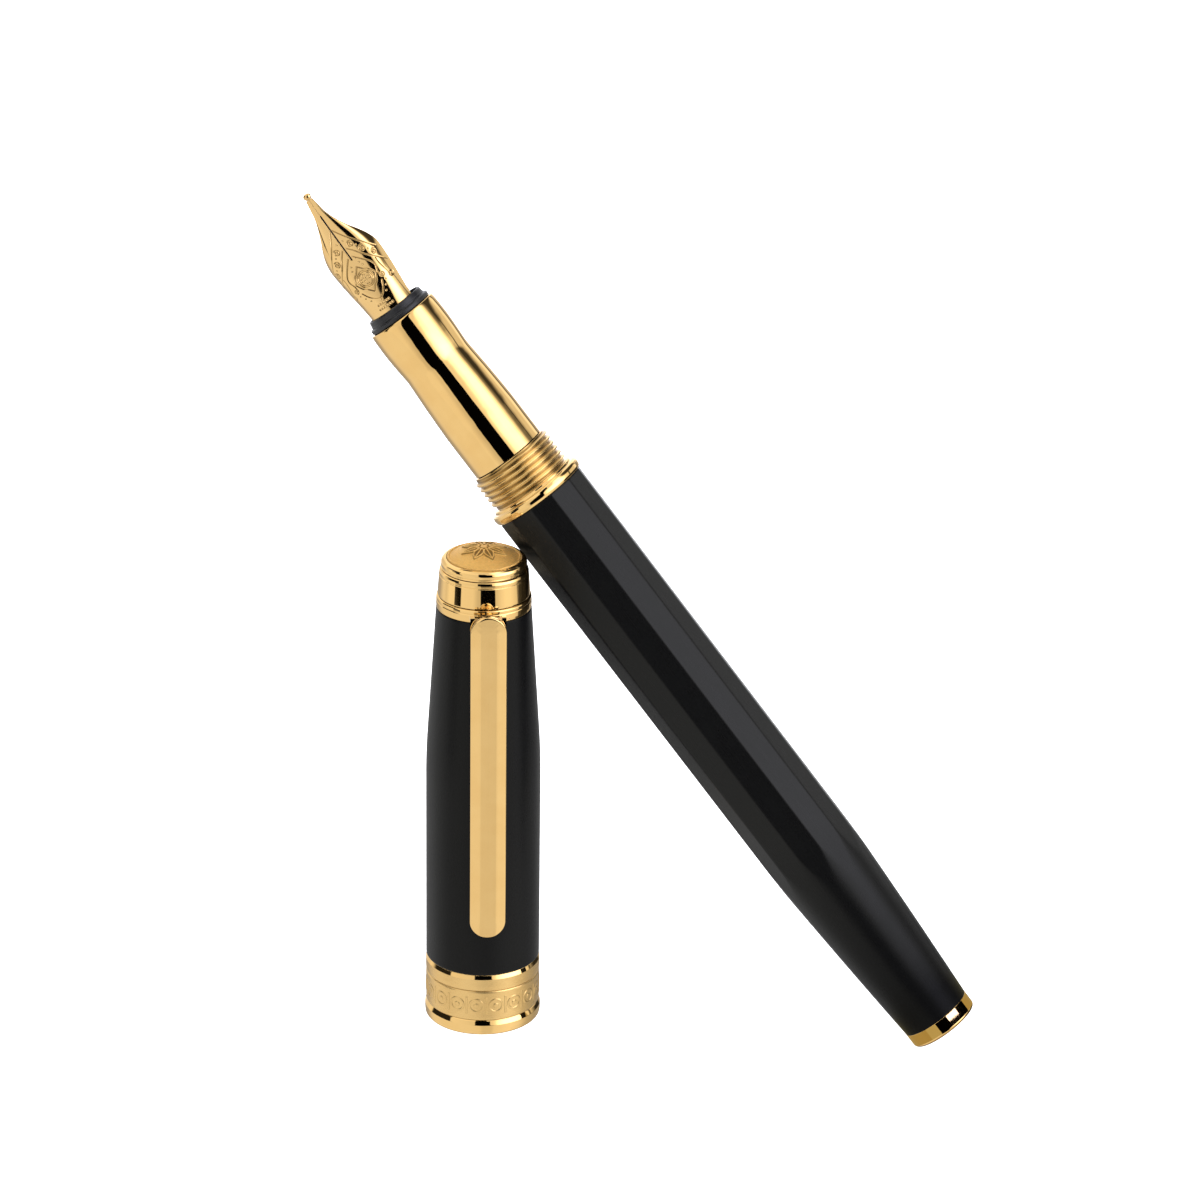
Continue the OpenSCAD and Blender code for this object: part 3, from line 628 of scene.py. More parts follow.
def nib_half(side):
    """One side of the nib as a sheet; the two sides meet at the heart and part along the slit."""
    us = np.concatenate([[0, 0.004, 0.012], np.linspace(0.022, 0.985, 112), [0.992, 0.997, 1.0]])
    top, low, cuts = [], [], []
    for w in rows_w:
        R = float(nib_rad(w))
        am = math.asin(min(0.985, float(nib_hw(w)) / R))
        open_ = 0.085 * float(smooth01((w - SLIT0) / 0.18)) * (1 - 0.88 * float(smooth01((w - SLIT1) / 0.3)))
        a0 = open_ / R
        a = side * (a0 + (am - a0) * us)
        y = float(nib_y(w))
        e = engraving(a * R, np.full_like(a, w - 105.3)) * (1 if w > 104.9 else 0)
        dep = e * 0.058
        edge_round = 0.09 * (1 - np.clip((1 - us) * am * R / 0.10, 0, 1)) ** 2
        slit_round = 0.03 * (1 - np.clip(us * am * R / 0.035, 0, 1)) ** 2 * float(smooth01((w - SLIT0) / 0.3))
        r_out = R - dep - edge_round - slit_round
        r_in = np.full_like(a, R - 0.3)
        # the middle of the nib is flatter than a round section, its sides turn down faster
        k = 0.95 * float(smooth01((w - 104.0) / 6.0))
        q = np.sin(a) / math.sin(am)
        lift = k * R * ((1 - np.cos(a)) - (1 - math.cos(am)) * np.abs(q) ** 5.2)
        top.append(np.stack([r_out * np.sin(a), y - R + r_out * np.cos(a) + lift, np.full_like(a, w)], 1))
        low.append(np.stack([r_in * np.sin(a), y - R + r_in * np.cos(a) + lift, np.full_like(a, w)], 1))
        cuts.append(e)
    return np.array(top), np.array(low), np.array(cuts)


def sheet(top, low, side):
    """Closes a top and bottom grid of the same size into one solid."""
    nr, nc = top.shape[:2]
    verts = np.concatenate([top.reshape(-1, 3), low.reshape(-1, 3)])
    o = nr * nc
    quads = []
    i, j = np.meshgrid(np.arange(nr - 1), np.arange(nc - 1), indexing="ij")
    i, j = i.ravel(), j.ravel()
    quads.append(np.stack([i * nc + j, i * nc + j + 1, (i + 1) * nc + j + 1, (i + 1) * nc + j], 1)[:, ::-1])
    quads.append(np.stack([i * nc + j, i * nc + j + 1, (i + 1) * nc + j + 1, (i + 1) * nc + j], 1) + o)
    i = np.arange(nr - 1)
    for jj, flip in ((0, False), (nc - 1, True)):
        q = np.stack([i * nc + jj, (i + 1) * nc + jj, o + (i + 1) * nc + jj, o + i * nc + jj], 1)
        quads.append(q[:, ::-1] if not flip else q)
    j = np.arange(nc - 1)
    for ii, flip in ((0, True), (nr - 1, False)):
        q = np.stack([ii * nc + j, ii * nc + j + 1, o + ii * nc + j + 1, o + ii * nc + j], 1)
        quads.append(q[:, ::-1] if not flip else q)
    faces = np.concatenate(quads)
    if side < 0:
        faces = faces[:, ::-1]
    return verts, faces.tolist()


nv, nf, dark, engraving_shade = [], [], [], []
nr, nc = len(rows_w), 118
for side in (1, -1):
    top, low, cuts = nib_half(side)
    # the engraving depth also paints shade into the cut lines, through the cut attribute
    engraving_shade += [cuts.ravel(), np.zeros(cuts.size)]
    nc = top.shape[1]
    v, f = sheet(top, low, side)
    f = (np.array(f) + sum(len(x) for x in nv)).tolist()
    # the slit-side walls of each half take the dark feed material: painted shade in the slit
    dark += [1 if 2 * (nr - 1) * (nc - 1) <= i < 2 * (nr - 1) * (nc - 1) + (nr - 1) else 0 for i in range(len(f))]
    nv.append(v)
    nf += f
# a dark strip closes the slit from below: painted shade seen through the slit
zs_ = np.linspace(111.9, 119.6, 24)
strip = []
for w in zs_:
    h = 0.16 if w < 118.6 else 0.12
    y = float(nib_y(w)) - 0.20
    strip.append([(-h, y - 0.12, w), (h, y - 0.12, w), (h, y, w), (-h, y, w)])
v, f = loft(strip, start=(0, float(nib_y(111.9)) - 0.26, 111.9), end=(0, float(nib_y(119.6)) - 0.26, 119.6))
o = sum(len(x) for x in nv)
nv.append(v)
nf += [[i + o for i in q] for q in f]
dark += [1] * len(f)
engraving_shade.append(np.zeros(len(v)))
nib_v = np.concatenate(nv)
nib = make("nib_gold", nib_v, nf, NIB, M_NIB, "nib_unit", ["nib"], angle=60, extra={"cut": np.concatenate(engraving_shade)})
nib.data.materials.append(M_FEED)
if len(nib.data.polygons) == len(dark):
    nib.data.polygons.foreach_set("material_index", dark)

# writing tip: a small rounded pellet
tip = []
for z, r in ((-0.36, 0.24), (-0.24, 0.30), (-0.10, 0.345), (0.04, 0.36), (0.17, 0.335), (0.27, 0.27), (0.33, 0.18), (0.355, 0.08)):
    t = np.arange(48) * 2 * np.pi / 48
    tip.append(np.stack([r * 1.3 * np.cos(t), float(nib_y(TIP_W)) - 0.28 + r * 0.95 * np.sin(t), np.full(48, TIP_W + 0.38 + z)], 1))
v, f = loft(tip, start=(0, float(nib_y(TIP_W)) - 0.28, TIP_W - 0.02), end=(0, float(nib_y(TIP_W)) - 0.28, TIP_W + 0.74))
make("nib_tip_pellet", v, f, NIB, M_TIP, "nib_unit", ["nib_tipping"])

# feed: finned body under the nib
rings = []
fw = [88.0, 88.1, 90.0, 90.02, 104.18, 104.2, 105.3]
fr = [2.1, 2.2, 2.2, 2.72, 2.72, 2.1, 2.1]
for i in range(11):
    b = 105.6 + 0.62 * i
    fw += [b, b + 0.02, b + 0.32, b + 0.34]
    fr += [2.08, 2.45, 2.45, 2.08]
fw += [112.6, 113.6, 114.6, 115.6, 116.4, 116.8]
fr += [2.08, 1.80, 1.52, 1.23, 1.0, 0.88]
nphi = 96
phi = np.arange(nphi) * 2 * np.pi / nphi
for w, r in zip(fw, fr):
    ytop = np.interp(w, [88, 105.4, 111.5, 116.8], [3.0, 2.38, 2.22, 1.43])
    ybot = np.interp(w, [88, 107, 116.8], [-3.0, -3.0, 0.47])
    cut = 0.12 if 105 < w < 112.5 and r < 2.2 else 0.0
    x = r * np.sin(phi)
    y = np.clip(r * np.cos(phi), ybot + cut, max(ytop, ybot + 0.3))
    if w > 112.5:
        y = (ytop + ybot) / 2 + np.cos(phi) * (ytop - ybot) / 2
    rings.append(np.stack([x, y, np.full(nphi, w)], 1))
v, f = loft(rings, start=(0, 0, 87.98), end=(0, 0.95, 116.82))
f = [q[::-1] for q in f]
make("feed_finned", v, f, NIB, M_FEED, "nib_unit", ["feed"], angle=30)

# ---------------------------------------------------------------- cap
SR, STR, STOP = 6.57, 5.43, 51.42
B0, B1 = 30.5, 36.0
SL = (SR - STR) / ((B1 - B0) / 2 + STOP - B1)


def shell(z):
    return np.where(z < B0, SR, np.where(z < B1, SR - SL * (z - B0) ** 2 / (2 * (B1 - B0)), SR - SL * ((B1 - B0) / 2 + z - B1)))


zz = np.concatenate([np.linspace(8.0, 29, 12), np.linspace(30, 37, 36), np.linspace(38, 51.25, 24)])
prof = [(5.85, 7.70), (6.46, 7.70), (6.52, 7.73), (6.56, 7.80), (6.57, 7.90)] + [(float(shell(z)), z) for z in zz]
prof += [(float(shell(51.36)), 51.36), (5.41, 51.40), (5.37, 51.42), (4.65, 51.42), (4.6, 51.38), (4.6, 49.2), (4.55, 49.15), (1.3, 49.15), (1.22, 49.1),
         (1.22, 47.7), (1.3, 47.65), (5.25, 47.65), (5.3, 47.6), (5.3, 9.7), (5.35, 9.6), (5.73, 9.6), (5.78, 9.55), (5.78, 7.77)]
rings = [ring(p[0], p[1], 256) for p in prof]
v, f = loft(rings, torus=True)
make("cap_body", v, f, CAP, M_BLACK, "cap", ["cap_shell"], angle=50)

# mouth ring, satin band, upper ring
v, f = lathe([(5.55, 0.0, 0.08), (6.2, 0.0, 0.06), (6.50, 0.03, 0.2), (6.68, 0.24, 0.28), (6.72, 0.70, 0.3), (6.715, 1.30, 0.08), (6.50, 1.74, 0.04), (6.44, 1.84, 0.03), (5.55, 1.86, 0.05)], 256, seg=8)
make("cap_mouth_ring", v, f, CAP, M_GOLD, "cap", ["cap_lip_ring"])
v, f = lathe([(5.78, 5.68, 0.03), (6.50, 5.68, 0.02), (6.585, 5.76, 0.05), (6.61, 6.3, 0.1), (6.61, 7.17, 0.03), (6.42, 7.60, 0.03), (6.38, 7.66, 0.02), (5.78, 7.66, 0.03)], 256, seg=6)
upper = make("cap_upper_ring", v, f, CAP, M_SATIN, "cap", ["band_upper_ring"])
upper.data.materials.append(M_GOLD)
for q in upper.data.polygons:
    zs_ = [v[i][2] for i in q.vertices]
    if min(zs_) > 7.15 and max(zs_) < 7.62:
        q.material_index = 1

# satin band with a low running ornament: linked rings and bars
BZ0, BZ1, BRAD = 1.9, 5.64, 6.6
nb = 1440
tb = np.arange(nb) * 2 * np.pi / nb
REPEAT = 18


def band_relief(z):
    """Height of the ornament, 0 to 1, at height z all the way round."""
    pitch = 2 * np.pi * BRAD / REPEAT
    arc = ((tb / (2 * np.pi) * REPEAT + 0.25) % 1.0 - 0.5) * pitch
    h = z - 3.78
    out = np.zeros(nb)
    d = np.abs(np.hypot(arc, h) - 0.78)
    out = np.maximum(out, 1 - smooth01((d - 0.07) / 0.06))
    d = np.hypot(arc, h)
    out = np.maximum(out, 1 - smooth01((d - 0.24) / 0.07))
    side = pitch / 2 - np.abs(arc)
    d = np.maximum(side - 0.03, 0) + np.maximum(np.abs(h) - 1.02, 0)
    out = np.maximum(out, 1 - smooth01((d - 0.04) / 0.06))
    return out


rings, relief_shade = [], []
for r, z in ((5.78, 1.95), (5.8, 1.9), (6.48, 1.9), (6.53, 1.93), (6.565, 2.0), (6.58, 2.1)):
    rings.append(ring(r, z, nb))
    relief_shade.append(np.zeros(nb))
for z in np.linspace(2.2, 5.36, 100):
    h_ = band_relief(z)
    r = 6.585 + 0.050 * h_
    # painted shade along the slopes of the ornament, through the cut attribute
    relief_shade.append(4 * h_ * (1 - h_))
    rings.append(np.stack([r * np.cos(tb), r * np.sin(tb), np.full(nb, z)], 1))
for r, z in ((6.58, 5.46), (6.565, 5.55), (6.53, 5.61), (6.48, 5.64), (5.8, 5.64), (5.78, 5.6)):
    rings.append(ring(r, z, nb))
    relief_shade.append(np.zeros(nb))
v, f = loft(rings, torus=True)
make("cap_band", v, f, CAP, M_SATIN, "cap", ["band_middle"], extra={"cut": np.concatenate(relief_shade)})

# ---------------------------------------------------------------- crown
def cut_with(ob, verts, faces, M):
    """Cuts a notch out of a piece and applies it."""
    m = np.array(M)
    w = np.asarray(verts, float) @ m[:3, :3].T + m[:3, 3]
    me = bpy.data.meshes.new("cutter")
    me.from_pydata(w.tolist(), [], faces)
    c = bpy.data.objects.new("cutter", me)
    bpy.context.scene.collection.objects.link(c)
    mod = ob.modifiers.new("notch", "BOOLEAN")
    mod.operation, mod.solver, mod.object = "DIFFERENCE", "EXACT", c
    bpy.context.view_layer.update()
    dg = bpy.context.evaluated_depsgraph_get()
    new = bpy.data.meshes.new_from_object(ob.evaluated_get(dg))
    ob.modifiers.clear()
    old = ob.data
    ob.data = new
    bpy.data.meshes.remove(old)
    bpy.data.objects.remove(c)
    ob.data.set_sharp_from_angle(angle=math.radians(40))


def prism(outline, y0, y1):
    """Prism with an (x, z) outline from y0 to y1."""
    n = len(outline)
    verts = [(x, y0, z) for x, z in outline] + [(x, y1, z) for x, z in outline]
    faces = [list(range(n))[::-1], list(range(n, 2 * n))]
    faces += [[i, (i + 1) % n, n + (i + 1) % n, n + i] for i in range(n)]
    return verts, faces


v, f = lathe([(1.2, 51.46, 0.05), (5.34, 51.46, 0.03), (5.41, 51.54, 0.06), (5.435, 51.8, 0.15), (5.425, 52.34, 0.12), (5.37, 52.42, 0.04), (5.37, 52.50, 0.03), (5.415, 52.56, 0.04),
              (5.40, 52.80, 0.08), (5.33, 52.91, 0.05), (5.22, 52.95, 0.03), (1.2, 52.95, 0.05)], 256, seg=6)
crown_base = make("crown_base", v, f, CAP, M_GOLD, "cap", ["crown_base_ring"])
v, f = lathe([(1.2, 53.01, 0.05), (5.18, 53.01, 0.03), (5.25, 53.08, 0.04), (5.265, 53.18, 0.06), (5.11, 55.42, 0.05), (5.05, 55.46, 0.02), (5.045, 55.53, 0.02), (5.09, 55.58, 0.04),
              (5.075, 55.86, 0.12), (4.99, 56.10, 0.08), (4.90, 56.17, 0.02), (2.1, 56.17, 0.05), (2.1, 54.7, 0.05), (1.2, 54.7, 0.05)], 256, seg=6)
crown_mid = make("crown_mid", v, f, CAP, M_GOLD, "cap", ["crown_band"])
notch = [(-0.86, 51.2), (0.86, 51.2), (0.86, 52.95), (0.0, 53.62), (-0.86, 52.95)]
cut_with(crown_base, *prism(notch, -6.2, -1.25), CLIP)
cut_with(crown_mid, *prism(notch, -6.2, -4.4), CLIP)
back = CLIP.inverted()
for ob in (crown_base, crown_mid):
    # the walls of the notch lie in their own shade
    ob.data.materials.append(M_SHADE)
    for q in ob.data.polygons:
        c = back @ q.center
        if abs(c.x) < 0.88 and -5.12 < c.y < -1.2 and 51.3 < c.z < 53.7:
            q.material_index = 1
v, f = lathe([(2.2, 56.21, 0.04), (4.78, 56.21, 0.04), (4.84, 56.26, 0.04), (4.85, 56.36, 0.04), (4.79, 56.41, 0.02), (4.79, 56.47, 0.02), (4.86, 56.54, 0.05), (4.885, 56.86, 0.3), (4.80, 57.14, 0.25),
              (4.58, 57.33, 0.2), (4.40, 57.385, 0.06), (4.31, 57.40, 0.03), (4.28, 57.34, 0.03), (4.28, 56.66, 0.02), (2.2, 56.64, 0.04)], 256, seg=8)
make("crown_top", v, f, CAP, M_GOLD, "cap", ["crown_top_ring"])

# dome: sandblasted field, raised bead at its edge, generic eight-leaf rosette in low relief
DR, DH = 4.22, 1.2
RS = (DR * DR + DH * DH) / (2 * DH)
nd = 512
td = np.arange(nd) * 2 * np.pi / nd


def dome_relief(r):
    x, y = r * np.cos(td), r * np.sin(td)
    out = np.zeros(nd)
    for k in range(8):
        a = math.radians(45 * k + 22.5)
        u = x * math.cos(a) + y * math.sin(a)
        s = -x * math.sin(a) + y * math.cos(a)
        inside = np.clip((u - 0.5) / 2.3, 0, 1)
        half = 0.66 * np.sin(np.pi * inside ** 0.8) ** 0.9
        leaf = smooth01((half - np.abs(s)) / 0.10) * ((u > 0.5) & (u < 2.8))
        hollow = smooth01((half - 0.20 - np.abs(s)) / 0.10)
        vein = 1 - smooth01((np.abs(s) - 0.05) / 0.06)
        out = np.maximum(out, leaf * (1 - 0.62 * hollow * (1 - vein)))
    out = np.maximum(out, smooth01((0.46 - r) / 0.07))
    return out


relief_shade = [np.zeros(nd)] * 12
rings = [ring(3.4, 56.69, nd), ring(4.15, 56.69, nd), ring(4.22, 56.75, nd), ring(4.22, 57.30, nd), ring(4.22, 57.40, nd), ring(4.20, 57.47, nd),
         ring(4.16, 57.52, nd), ring(4.10, 57.55, nd), ring(4.04, 57.56, nd), ring(3.99, 57.53, nd), ring(3.95, 57.46, nd), ring(3.92, 57.43, nd)]
base = 57.45 + DH - RS
for r in np.linspace(3.88, 0.05, 170):
    z = base + math.sqrt(RS * RS - r * r) - 0.18
    h_ = dome_relief(r)
    # painted shade along the slopes of the rosette, through the cut attribute
    relief_shade.append(4 * h_ * (1 - h_) * (0 if r < 0.3 else 1))
    rings.append(np.stack([r * np.cos(td), r * np.sin(td), z + 0.20 * h_], 1))
v, f = loft(rings, start=(0, 0, 56.69), end=(0, 0, base + RS))
make("crown_dome", v, f, CAP, M_DOME, "cap", ["emblem_dome"], angle=60, extra={"cut": np.concatenate(relief_shade + [np.zeros(2)])})

# ---------------------------------------------------------------- clip
CW, CLOW, CHIGH = 4.1, 13.2, 53.25
HW = CW / 2
ZS = [13.1, 15.5, 20, 34, 48, 51.3, 53.1]
YF = [-7.78, -7.99, -8.11, -8.13, -8.10, -8.03, -7.96]
PLATE = 0.62
nst = 160


def stadium(inset, n=nst):
    """Points round the clip's rounded outline, inset by a distance, in (x, z)."""
    r = HW - inset
    z0, z1 = CLOW + HW, CHIGH - HW
    straight, cap_ = z1 - z0, math.pi * HW
    out = []
    for i in range(n):
        q = i / n
        if q < 0.25:
            out.append((r, z0 + straight * q / 0.25))
        elif q < 0.5:
            a = math.pi * (q - 0.25) / 0.25
            out.append((r * math.cos(a), z1 + r * math.sin(a)))
        elif q < 0.75:
            out.append((-r, z1 - straight * (q - 0.5) / 0.25))
        else:
            a = math.pi + math.pi * (q - 0.75) / 0.25
            out.append((r * math.cos(a), z0 + r * math.sin(a)))
    return np.array(out)


def front(x, z):
    """Face of the clip: a flat middle and two shallow long bevels."""
    ax = np.abs(x)
    return catmull(ZS, YF, z) + 0.15 * np.maximum(ax - 0.88, 0)


def stadium_ring(inset, dy, back=False):
    p = stadium(inset)
    x, z = p[:, 0], p[:, 1]
    y = front(x, z) + dy if not back else catmull(ZS, YF, z) + PLATE + dy
    return np.stack([x, y, z], 1)


rings = []
for d in (HW - 0.001, 1.5, 1.19, 1.15, 0.8, 0.45, 0.24):
    rings.append(stadium_ring(d, 0.0))
for k in range(0, 9):
    a = math.radians(90 * k / 8)
    rho = 0.16
    rings.append(stadium_ring(rho * (1 - math.sin(a)), rho * (1 - math.cos(a))))
p = stadium(0.0)
yb = catmull(ZS, YF, p[:, 1]) + PLATE
rings.append(np.stack([p[:, 0], yb - 0.08, p[:, 1]], 1))
rings.append(stadium_ring(0.03, -0.02, True))
rings.append(stadium_ring(0.08, 0.0, True))
rings.append(stadium_ring(HW - 0.001, 0.0, True))
cv, cf = loft(rings)
cf = [q[::-1] for q in cf]
parts_v, parts_f = [cv], [cf]


def box_shape(x0, x1, side_yz, bevel=0.0):
    """Prism along x with a (y, z) outline."""
    n = len(side_yz)
    verts = [(x0, y, z) for y, z in side_yz] + [(x1, y, z) for y, z in side_yz]
    faces = [list(range(n)), list(range(2 * n - 1, n - 1, -1))]
    faces += [[(i + 1) % n, i, n + i, n + (i + 1) % n] for i in range(n)]
    return np.array(verts), faces


# two side walls folded back from the face; their square upper ends show beside the rounded head
zs = np.linspace(15.2, 50.2, 40)
yf = catmull(ZS, YF, zs) + PLATE - 0.12
outline = [(float(y), float(z)) for y, z in zip(yf, zs)]
outline += [(-7.30, 50.9), (-7.12, 51.5), (-7.05, 52.4), (-6.98, 52.8), (-6.85, 52.9), (-6.35, 52.9), (-6.2, 52.75), (-6.22, 50.4), (-6.72, 48.4), (-7.0, 46.0), (-7.03, 30.0), (-7.03, 18.5), (-6.95, 16.5), (-6.75, 15.2)]
for x0, x1 in ((-HW + 0.02, -HW + 0.52), (HW - 0.52, HW - 0.02)):
    v, f = box_shape(x0, x1, outline)
    parts_v.append(v)
    parts_f.append(f)
# pad that rests on the cap, and the tongue with its pointed knuckle
pad = [(-7.5, 13.9), (-7.0, 13.75), (-6.72, 14.1), (-6.66, 14.6), (-6.66, 15.3), (-6.75, 15.9), (-7.1, 16.6), (-7.5, 16.8)]
v, f = box_shape(-0.9, 0.9, pad)
parts_v.append(v)
parts_f.append(f)
PZ = PIN.z * 1000
tongue = [(-7.3, PZ - 0.4), (-1.55, PZ - 0.4), (-1.5, PZ - 0.35), (-1.5, PZ + 0.35), (-1.55, PZ + 0.4), (-4.9, PZ + 0.4), (-5.1, PZ + 0.34), (-5.9, PZ + 0.3), (-7.3, PZ + 0.2)]
v, f = box_shape(-0.62, 0.62, tongue)
parts_v.append(v)
parts_f.append(f)
bridge = [(-7.45, 50.6), (-6.25, 50.6), (-6.2, 52.55), (-7.2, 52.55)]
v, f = box_shape(-1.6, 1.6, bridge)
parts_v.append(v)
parts_f.append(f)
allv, allf, o = [], [], 0
for v, f in zip(parts_v, parts_f):
    allv.append(v)
    allf += [[i + o for i in q] for q in f]
    o += len(v)
clip = make("clip_bar", np.concatenate(allv), allf, CLIP, M_CLIP, "clip", ["clip"], angle=30)
# the tongue and bridge under the clip head take the darker gold: painted shade
clip.data.materials.append(M_KNUCKLE_SHADE)
walls = sum(len(x) for x in parts_f[:4])
clip.data.polygons.foreach_set("material_index", [1 if i >= walls else 0 for i in range(len(clip.data.polygons))])

# ---------------------------------------------------------------- floor
fl = bpy.data.meshes.new("floor")
fl.from_pydata([(-3, -3, -0.00002), (3, -3, -0.00002), (3, 3, -0.00002), (-3, 3, -0.00002)], [], [(0, 1, 2, 3)])
floor = bpy.data.objects.new("floor", fl)
bpy.context.scene.collection.objects.link(floor)
n = Nodes("floor_white")
nz = n.noise(n.place(), 6.0, 2.0)
n.set(Base_Color=n.mix(nz, (0.90, 0.90, 0.90), (0.92, 0.92, 0.92)), Roughness=0.9, Specular_IOR_Level=0.1)
seen = n.new("ShaderNodeLightPath").outputs["Is Camera Ray"]
n.set(Emission_Color=(1, 1, 1), Emission_Strength=n.ramp(seen, 0, 1, 0.30, 1.3))
fl.materials.append(n.mat)
floor.visible_glossy = False

# small reflector cards round the tail: dim, black with a white window, dim. Only reflections see them.
def tail_card(a, w, dist):
    """The point that the polished tail end shows at angle a and height w."""
    nrm = (PEN.to_3x3() @ Vector((math.cos(a), math.sin(a), 0))).normalized()
    at = PEN @ Vector((4.21 * math.cos(a), 4.21 * math.sin(a), w))
    view = (EYE - at).normalized()
    return at + (nrm * (2 * nrm.dot(view)) - view) * dist


A_ = [28, 40, 52, 64, 76, 86, 95, 105, 112, 119, 126, 133, 140, 146, 152, 158, 166, 172, 180, 190, 200]
W_ = [-1.5, 1.1, 2.3, 4.2]
cv = [tuple(tail_card(math.radians(a), w, 0.020)) for a in A_ for w in W_]
cf, cm = [], []
for i in range(len(A_) - 1):
    for j in range(len(W_) - 1):
        cf.append((i * 4 + j, (i + 1) * 4 + j, (i + 1) * 4 + j + 1, i * 4 + j + 1))
        if A_[i] < 105:
            cm.append(0 if A_[i] < 86 else 1)
        elif A_[i] < 166:
            cm.append(3 if 126 <= A_[i] < 146 and j == 1 else 2)
        else:
            cm.append(0)
cards = bpy.data.meshes.new("tail_cards")
cards.from_pydata(cv, [], cf)
for name, c in (("card_dim", (0.44, 0.38, 0.19)), ("card_tan", (0.52, 0.50, 0.32)), ("card_black", (0.001, 0.001, 0.001)), ("card_white", (3.0, 3.1, 5.0))):
    cn = Nodes(name)
    big = cn.noise(cn.place(), 60.0, 2.0)
    cn.set(Base_Color=(0, 0, 0), Specular_IOR_Level=0.0, Emission_Color=c, Emission_Strength=cn.ramp(big, 0.3, 0.7, 0.97, 1.03))
    cards.materials.append(cn.mat)
cards.polygons.foreach_set("material_index", cm)
card_ob = bpy.data.objects.new("tail_cards", cards)
bpy.context.scene.collection.objects.link(card_ob)
card_ob.visible_camera = card_ob.visible_diffuse = card_ob.visible_shadow = card_ob.visible_transmission = False

# ---------------------------------------------------------------- studio: painted by direction
world = bpy.data.worlds.new("studio")
bpy.context.scene.world = world
world.use_nodes = True
t = world.node_tree
t.nodes.clear()


def W(kind, **kw):
    nn = t.nodes.new(kind)
    for k, v in kw.items():
        setattr(nn, k, v)
    return nn


def wm(op, a, b=None, c=None, clamp=False):
    nn = W("ShaderNodeMath", operation=op, use_clamp=clamp)
    for i, x in enumerate((a, b, c)):
        if x is None:
            continue
        if isinstance(x, (int, float)):
            nn.inputs[i].default_value = x
        else:
            t.links.new(x, nn.inputs[i])
    return nn.outputs[0]


geo = W("ShaderNodeTexCoord")
sep = W("ShaderNodeSeparateXYZ")
t.links.new(geo.outputs["Generated"], sep.inputs[0])
X_, Y_, Z_ = sep.outputs
DEG = 180 / math.pi
az = wm("MULTIPLY", wm("ARCTAN2", X_, wm("MULTIPLY", Y_, -1)), DEG)
el = wm("MULTIPLY", wm("ARCSINE", Z_), DEG)


def step_up(x, at, soft):
    nn = W("ShaderNodeMapRange", interpolation_type="SMOOTHSTEP")
    t.links.new(x, nn.inputs["Value"])
    nn.inputs["From Min"].default_value = at - soft / 2
    nn.inputs["From Max"].default_value = at + soft / 2
    return nn.outputs[0]


def between(x, lo, hi, soft=2.0):
    return wm("MULTIPLY", step_up(x, lo, soft), wm("SUBTRACT", 1.0, step_up(x, hi, soft)))


def panel(a0, a1, e0, e1, soft=2.0, esoft=4.0, slant=0.0):
    a = wm("ADD", az, wm("MULTIPLY", el, slant)) if slant else az
    return wm("MULTIPLY", between(a, a0, a1, soft), between(el, e0, e1, esoft))


def lay(base, mask, value):
    """Paints a value over the base where the mask is."""
    return wm("ADD", wm("MULTIPLY", base, wm("SUBTRACT", 1.0, mask)), wm("MULTIPLY", mask, value))


def by_azimuth(stops):
    """Brightness round the horizon as a ramp of (azimuth, value) stops."""
    nn = W("ShaderNodeValToRGB")
    cr = nn.color_ramp
    cr.interpolation = "LINEAR"
    while len(cr.elements) < len(stops):
        cr.elements.new(0.5)
    for e, (a, x) in zip(cr.elements, stops):
        e.position = (a + 180) / 360
        e.color = (x / 4, x / 4, x / 4, 1)
    t.links.new(wm("DIVIDE", wm("ADD", az, 180), 360), nn.inputs[0])
    return wm("MULTIPLY", nn.outputs[0], 4.0)


high = by_azimuth([(-180, 1.5), (-165, 1.2), (-150, 0.8), (-120, 0.9), (-60, 0.97), (-16, 0.85), (22, 1.0), (27, 1.3), (34, 2.2), (44, 2.8), (58, 3.1),
                   (70, 3.1), (79, 2.6), (88, 1.5), (96, 1.05), (103, 0.95), (104.5, 0.12), (107.5, 0.12), (109, 0.8), (130, 0.85), (138, 1.3), (144, 1.1), (146.5, 0.1), (150, 0.1),
                   (153, 0.75), (163, 0.9), (168, 2.2), (180, 1.8)])
top = by_azimuth([(-180, 1.05), (-150, 1.3), (-120, 1.15), (-30, 1.05), (27, 1.0), (36, 1.8), (50, 2.5), (70, 2.5), (84, 1.2), (92, 0.30), (102, 0.05), (154, 0.05), (168, 0.5), (180, 1.05)])
mid = by_azimuth([(-180, 1.6), (-165, 1.5), (-150, 0.9), (-129, 0.88), (-118, 1.05), (-106, 0.74), (-94, 1.1), (-83, 1.03), (-48, 0.97), (-25, 0.95), (-13, 0.7),
                  (24, 0.75), (34, 0.82), (45, 1.0), (57, 1.13), (69, 1.13), (80, 1.0), (90, 0.85), (94, 0.03), (143, 0.03), (150, 0.35), (160, 0.5), (166, 1.6), (180, 1.6)])
low = by_azimuth([(-180, 0.40), (-140, 0.45), (-122, 0.80), (-110, 0.9), (-60, 0.93), (-14, 0.91), (-5, 0.91), (2, 0.79), (19, 0.79), (25, 0.96), (34, 1.0), (60, 1.1), (80, 0.95), (100, 0.6), (130, 0.42), (180, 0.40)])


def blend(a, b, x):
    return wm("ADD", wm("MULTIPLY", a, wm("SUBTRACT", 1.0, x)), wm("MULTIPLY", b, x))


lum = blend(mid, high, step_up(el, 2.0, 8.0))
lum = blend(lum, top, step_up(el, 27, 9))
lum = blend(lum, 0.85, step_up(el, 72, 18))
lum = blend(low, lum, step_up(el, -18.5, 4.0))
lum = lay(lum, panel(-112, -64, 2, 30, 3.0, 4), 0.02)
lum = lay(lum, panel(-76, -57, -18, 2, 1.5, 3), 0.004)
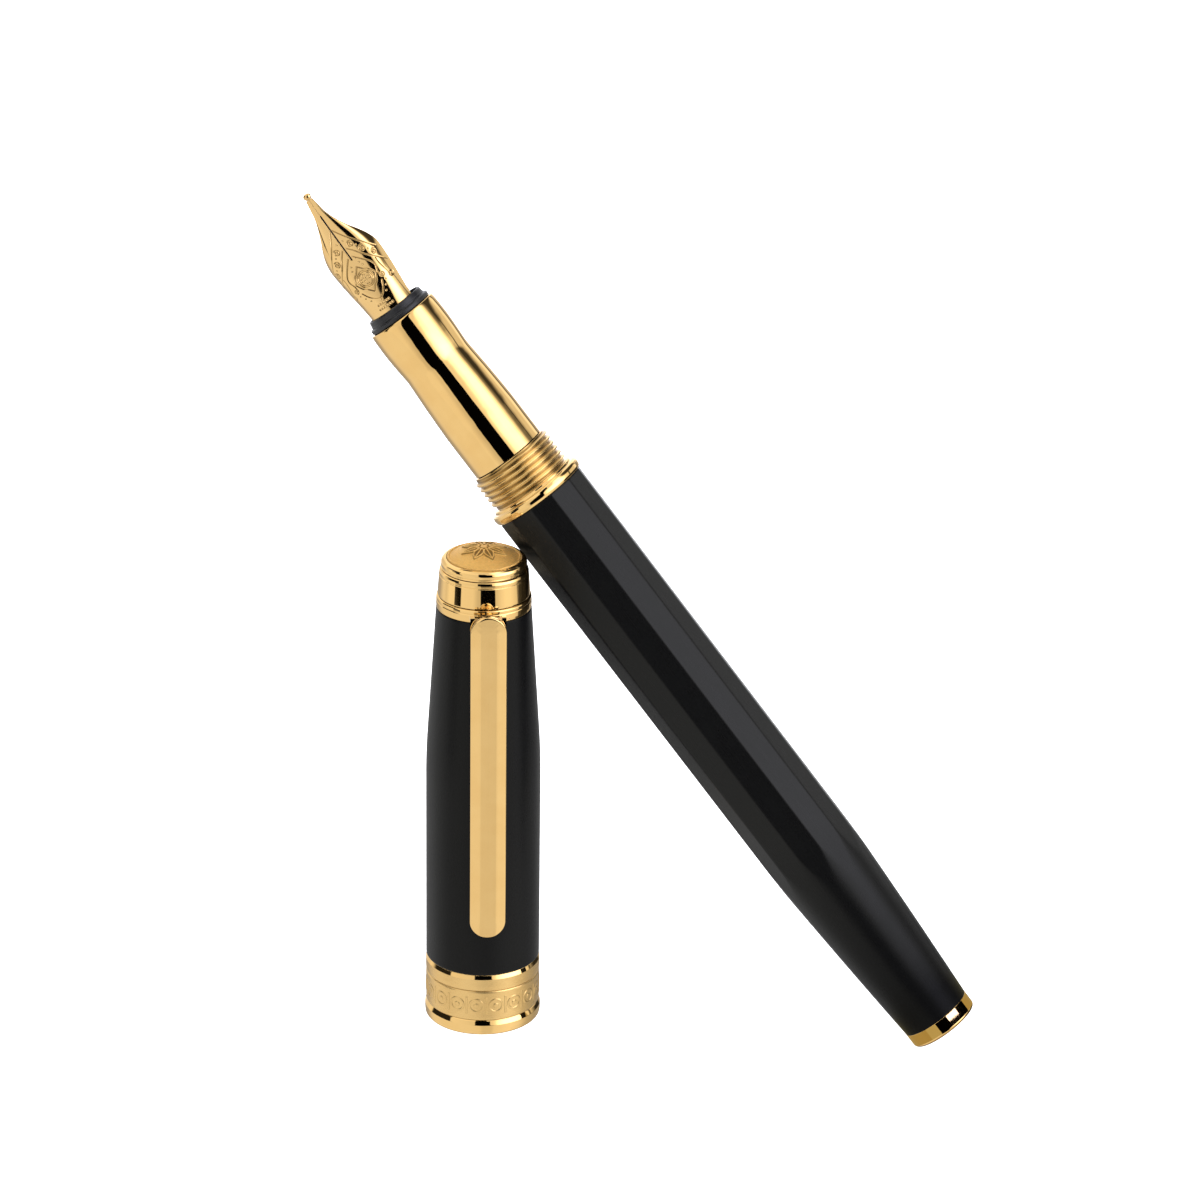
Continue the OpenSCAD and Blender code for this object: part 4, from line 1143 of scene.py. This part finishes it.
# the central card narrows upwards
card = wm("SUBTRACT", wm("ADD", az, wm("MULTIPLY", el, 0.25)), 7.6)
half = W("ShaderNodeMapRange")
t.links.new(el, half.inputs["Value"])
for key, val in (("From Min", 18.0), ("From Max", 32.0), ("To Min", 18.1), ("To Max", 12.0)):
    half.inputs[key].default_value = val
card = wm("DIVIDE", card, half.outputs[0])
lum = lay(lum, wm("MULTIPLY", between(card, -1.0, 1.0, 0.09), between(el, -17, 62, 2.0)), 0.001)
warm = wm("MAXIMUM", wm("SUBTRACT", lum, 1.15), 0.0)
col = W("ShaderNodeCombineXYZ")
for i, k in enumerate((0.0, 0.03, 0.30)):
    t.links.new(wm("ADD", lum, wm("MULTIPLY", warm, k)), col.inputs[i])
bg_env = W("ShaderNodeBackground")
t.links.new(col.outputs[0], bg_env.inputs["Color"])
bg_cam = W("ShaderNodeBackground")
bg_cam.inputs["Color"].default_value = (1, 1, 1, 1)
path = W("ShaderNodeLightPath")
mixs = W("ShaderNodeMixShader")
t.links.new(path.outputs["Is Camera Ray"], mixs.inputs[0])
t.links.new(bg_env.outputs[0], mixs.inputs[1])
t.links.new(bg_cam.outputs[0], mixs.inputs[2])
out = W("ShaderNodeOutputWorld")
t.links.new(mixs.outputs[0], out.inputs["Surface"])

bpy.context.scene.view_settings.view_transform = "Standard"
bpy.context.scene.view_settings.look = "None"

# ---------------------------------------------------------------- camera
cam = bpy.data.cameras.new("camera")
camera = bpy.data.objects.new("camera", cam)
bpy.context.scene.collection.objects.link(camera)
cam.sensor_width = 36.0
cam.lens = 5400.0 / 1200.0 * 36.0
cam.clip_start, cam.clip_end = 0.05, 20
pitch, roll = math.radians(23.182), math.radians(0.727)
F = Vector((0, math.cos(pitch), -math.sin(pitch)))
U0 = Vector((0, math.sin(pitch), math.cos(pitch)))
X0 = Vector((1, 0, 0))
UP = U0 * math.cos(roll) - X0 * math.sin(roll)
XR = X0 * math.cos(roll) + U0 * math.sin(roll)
rot = Matrix((XR, UP, -F)).transposed().to_4x4()
camera.matrix_world = Matrix.Translation(EYE) @ rot
bpy.context.scene.camera = camera

bpy.context.view_layer.update()
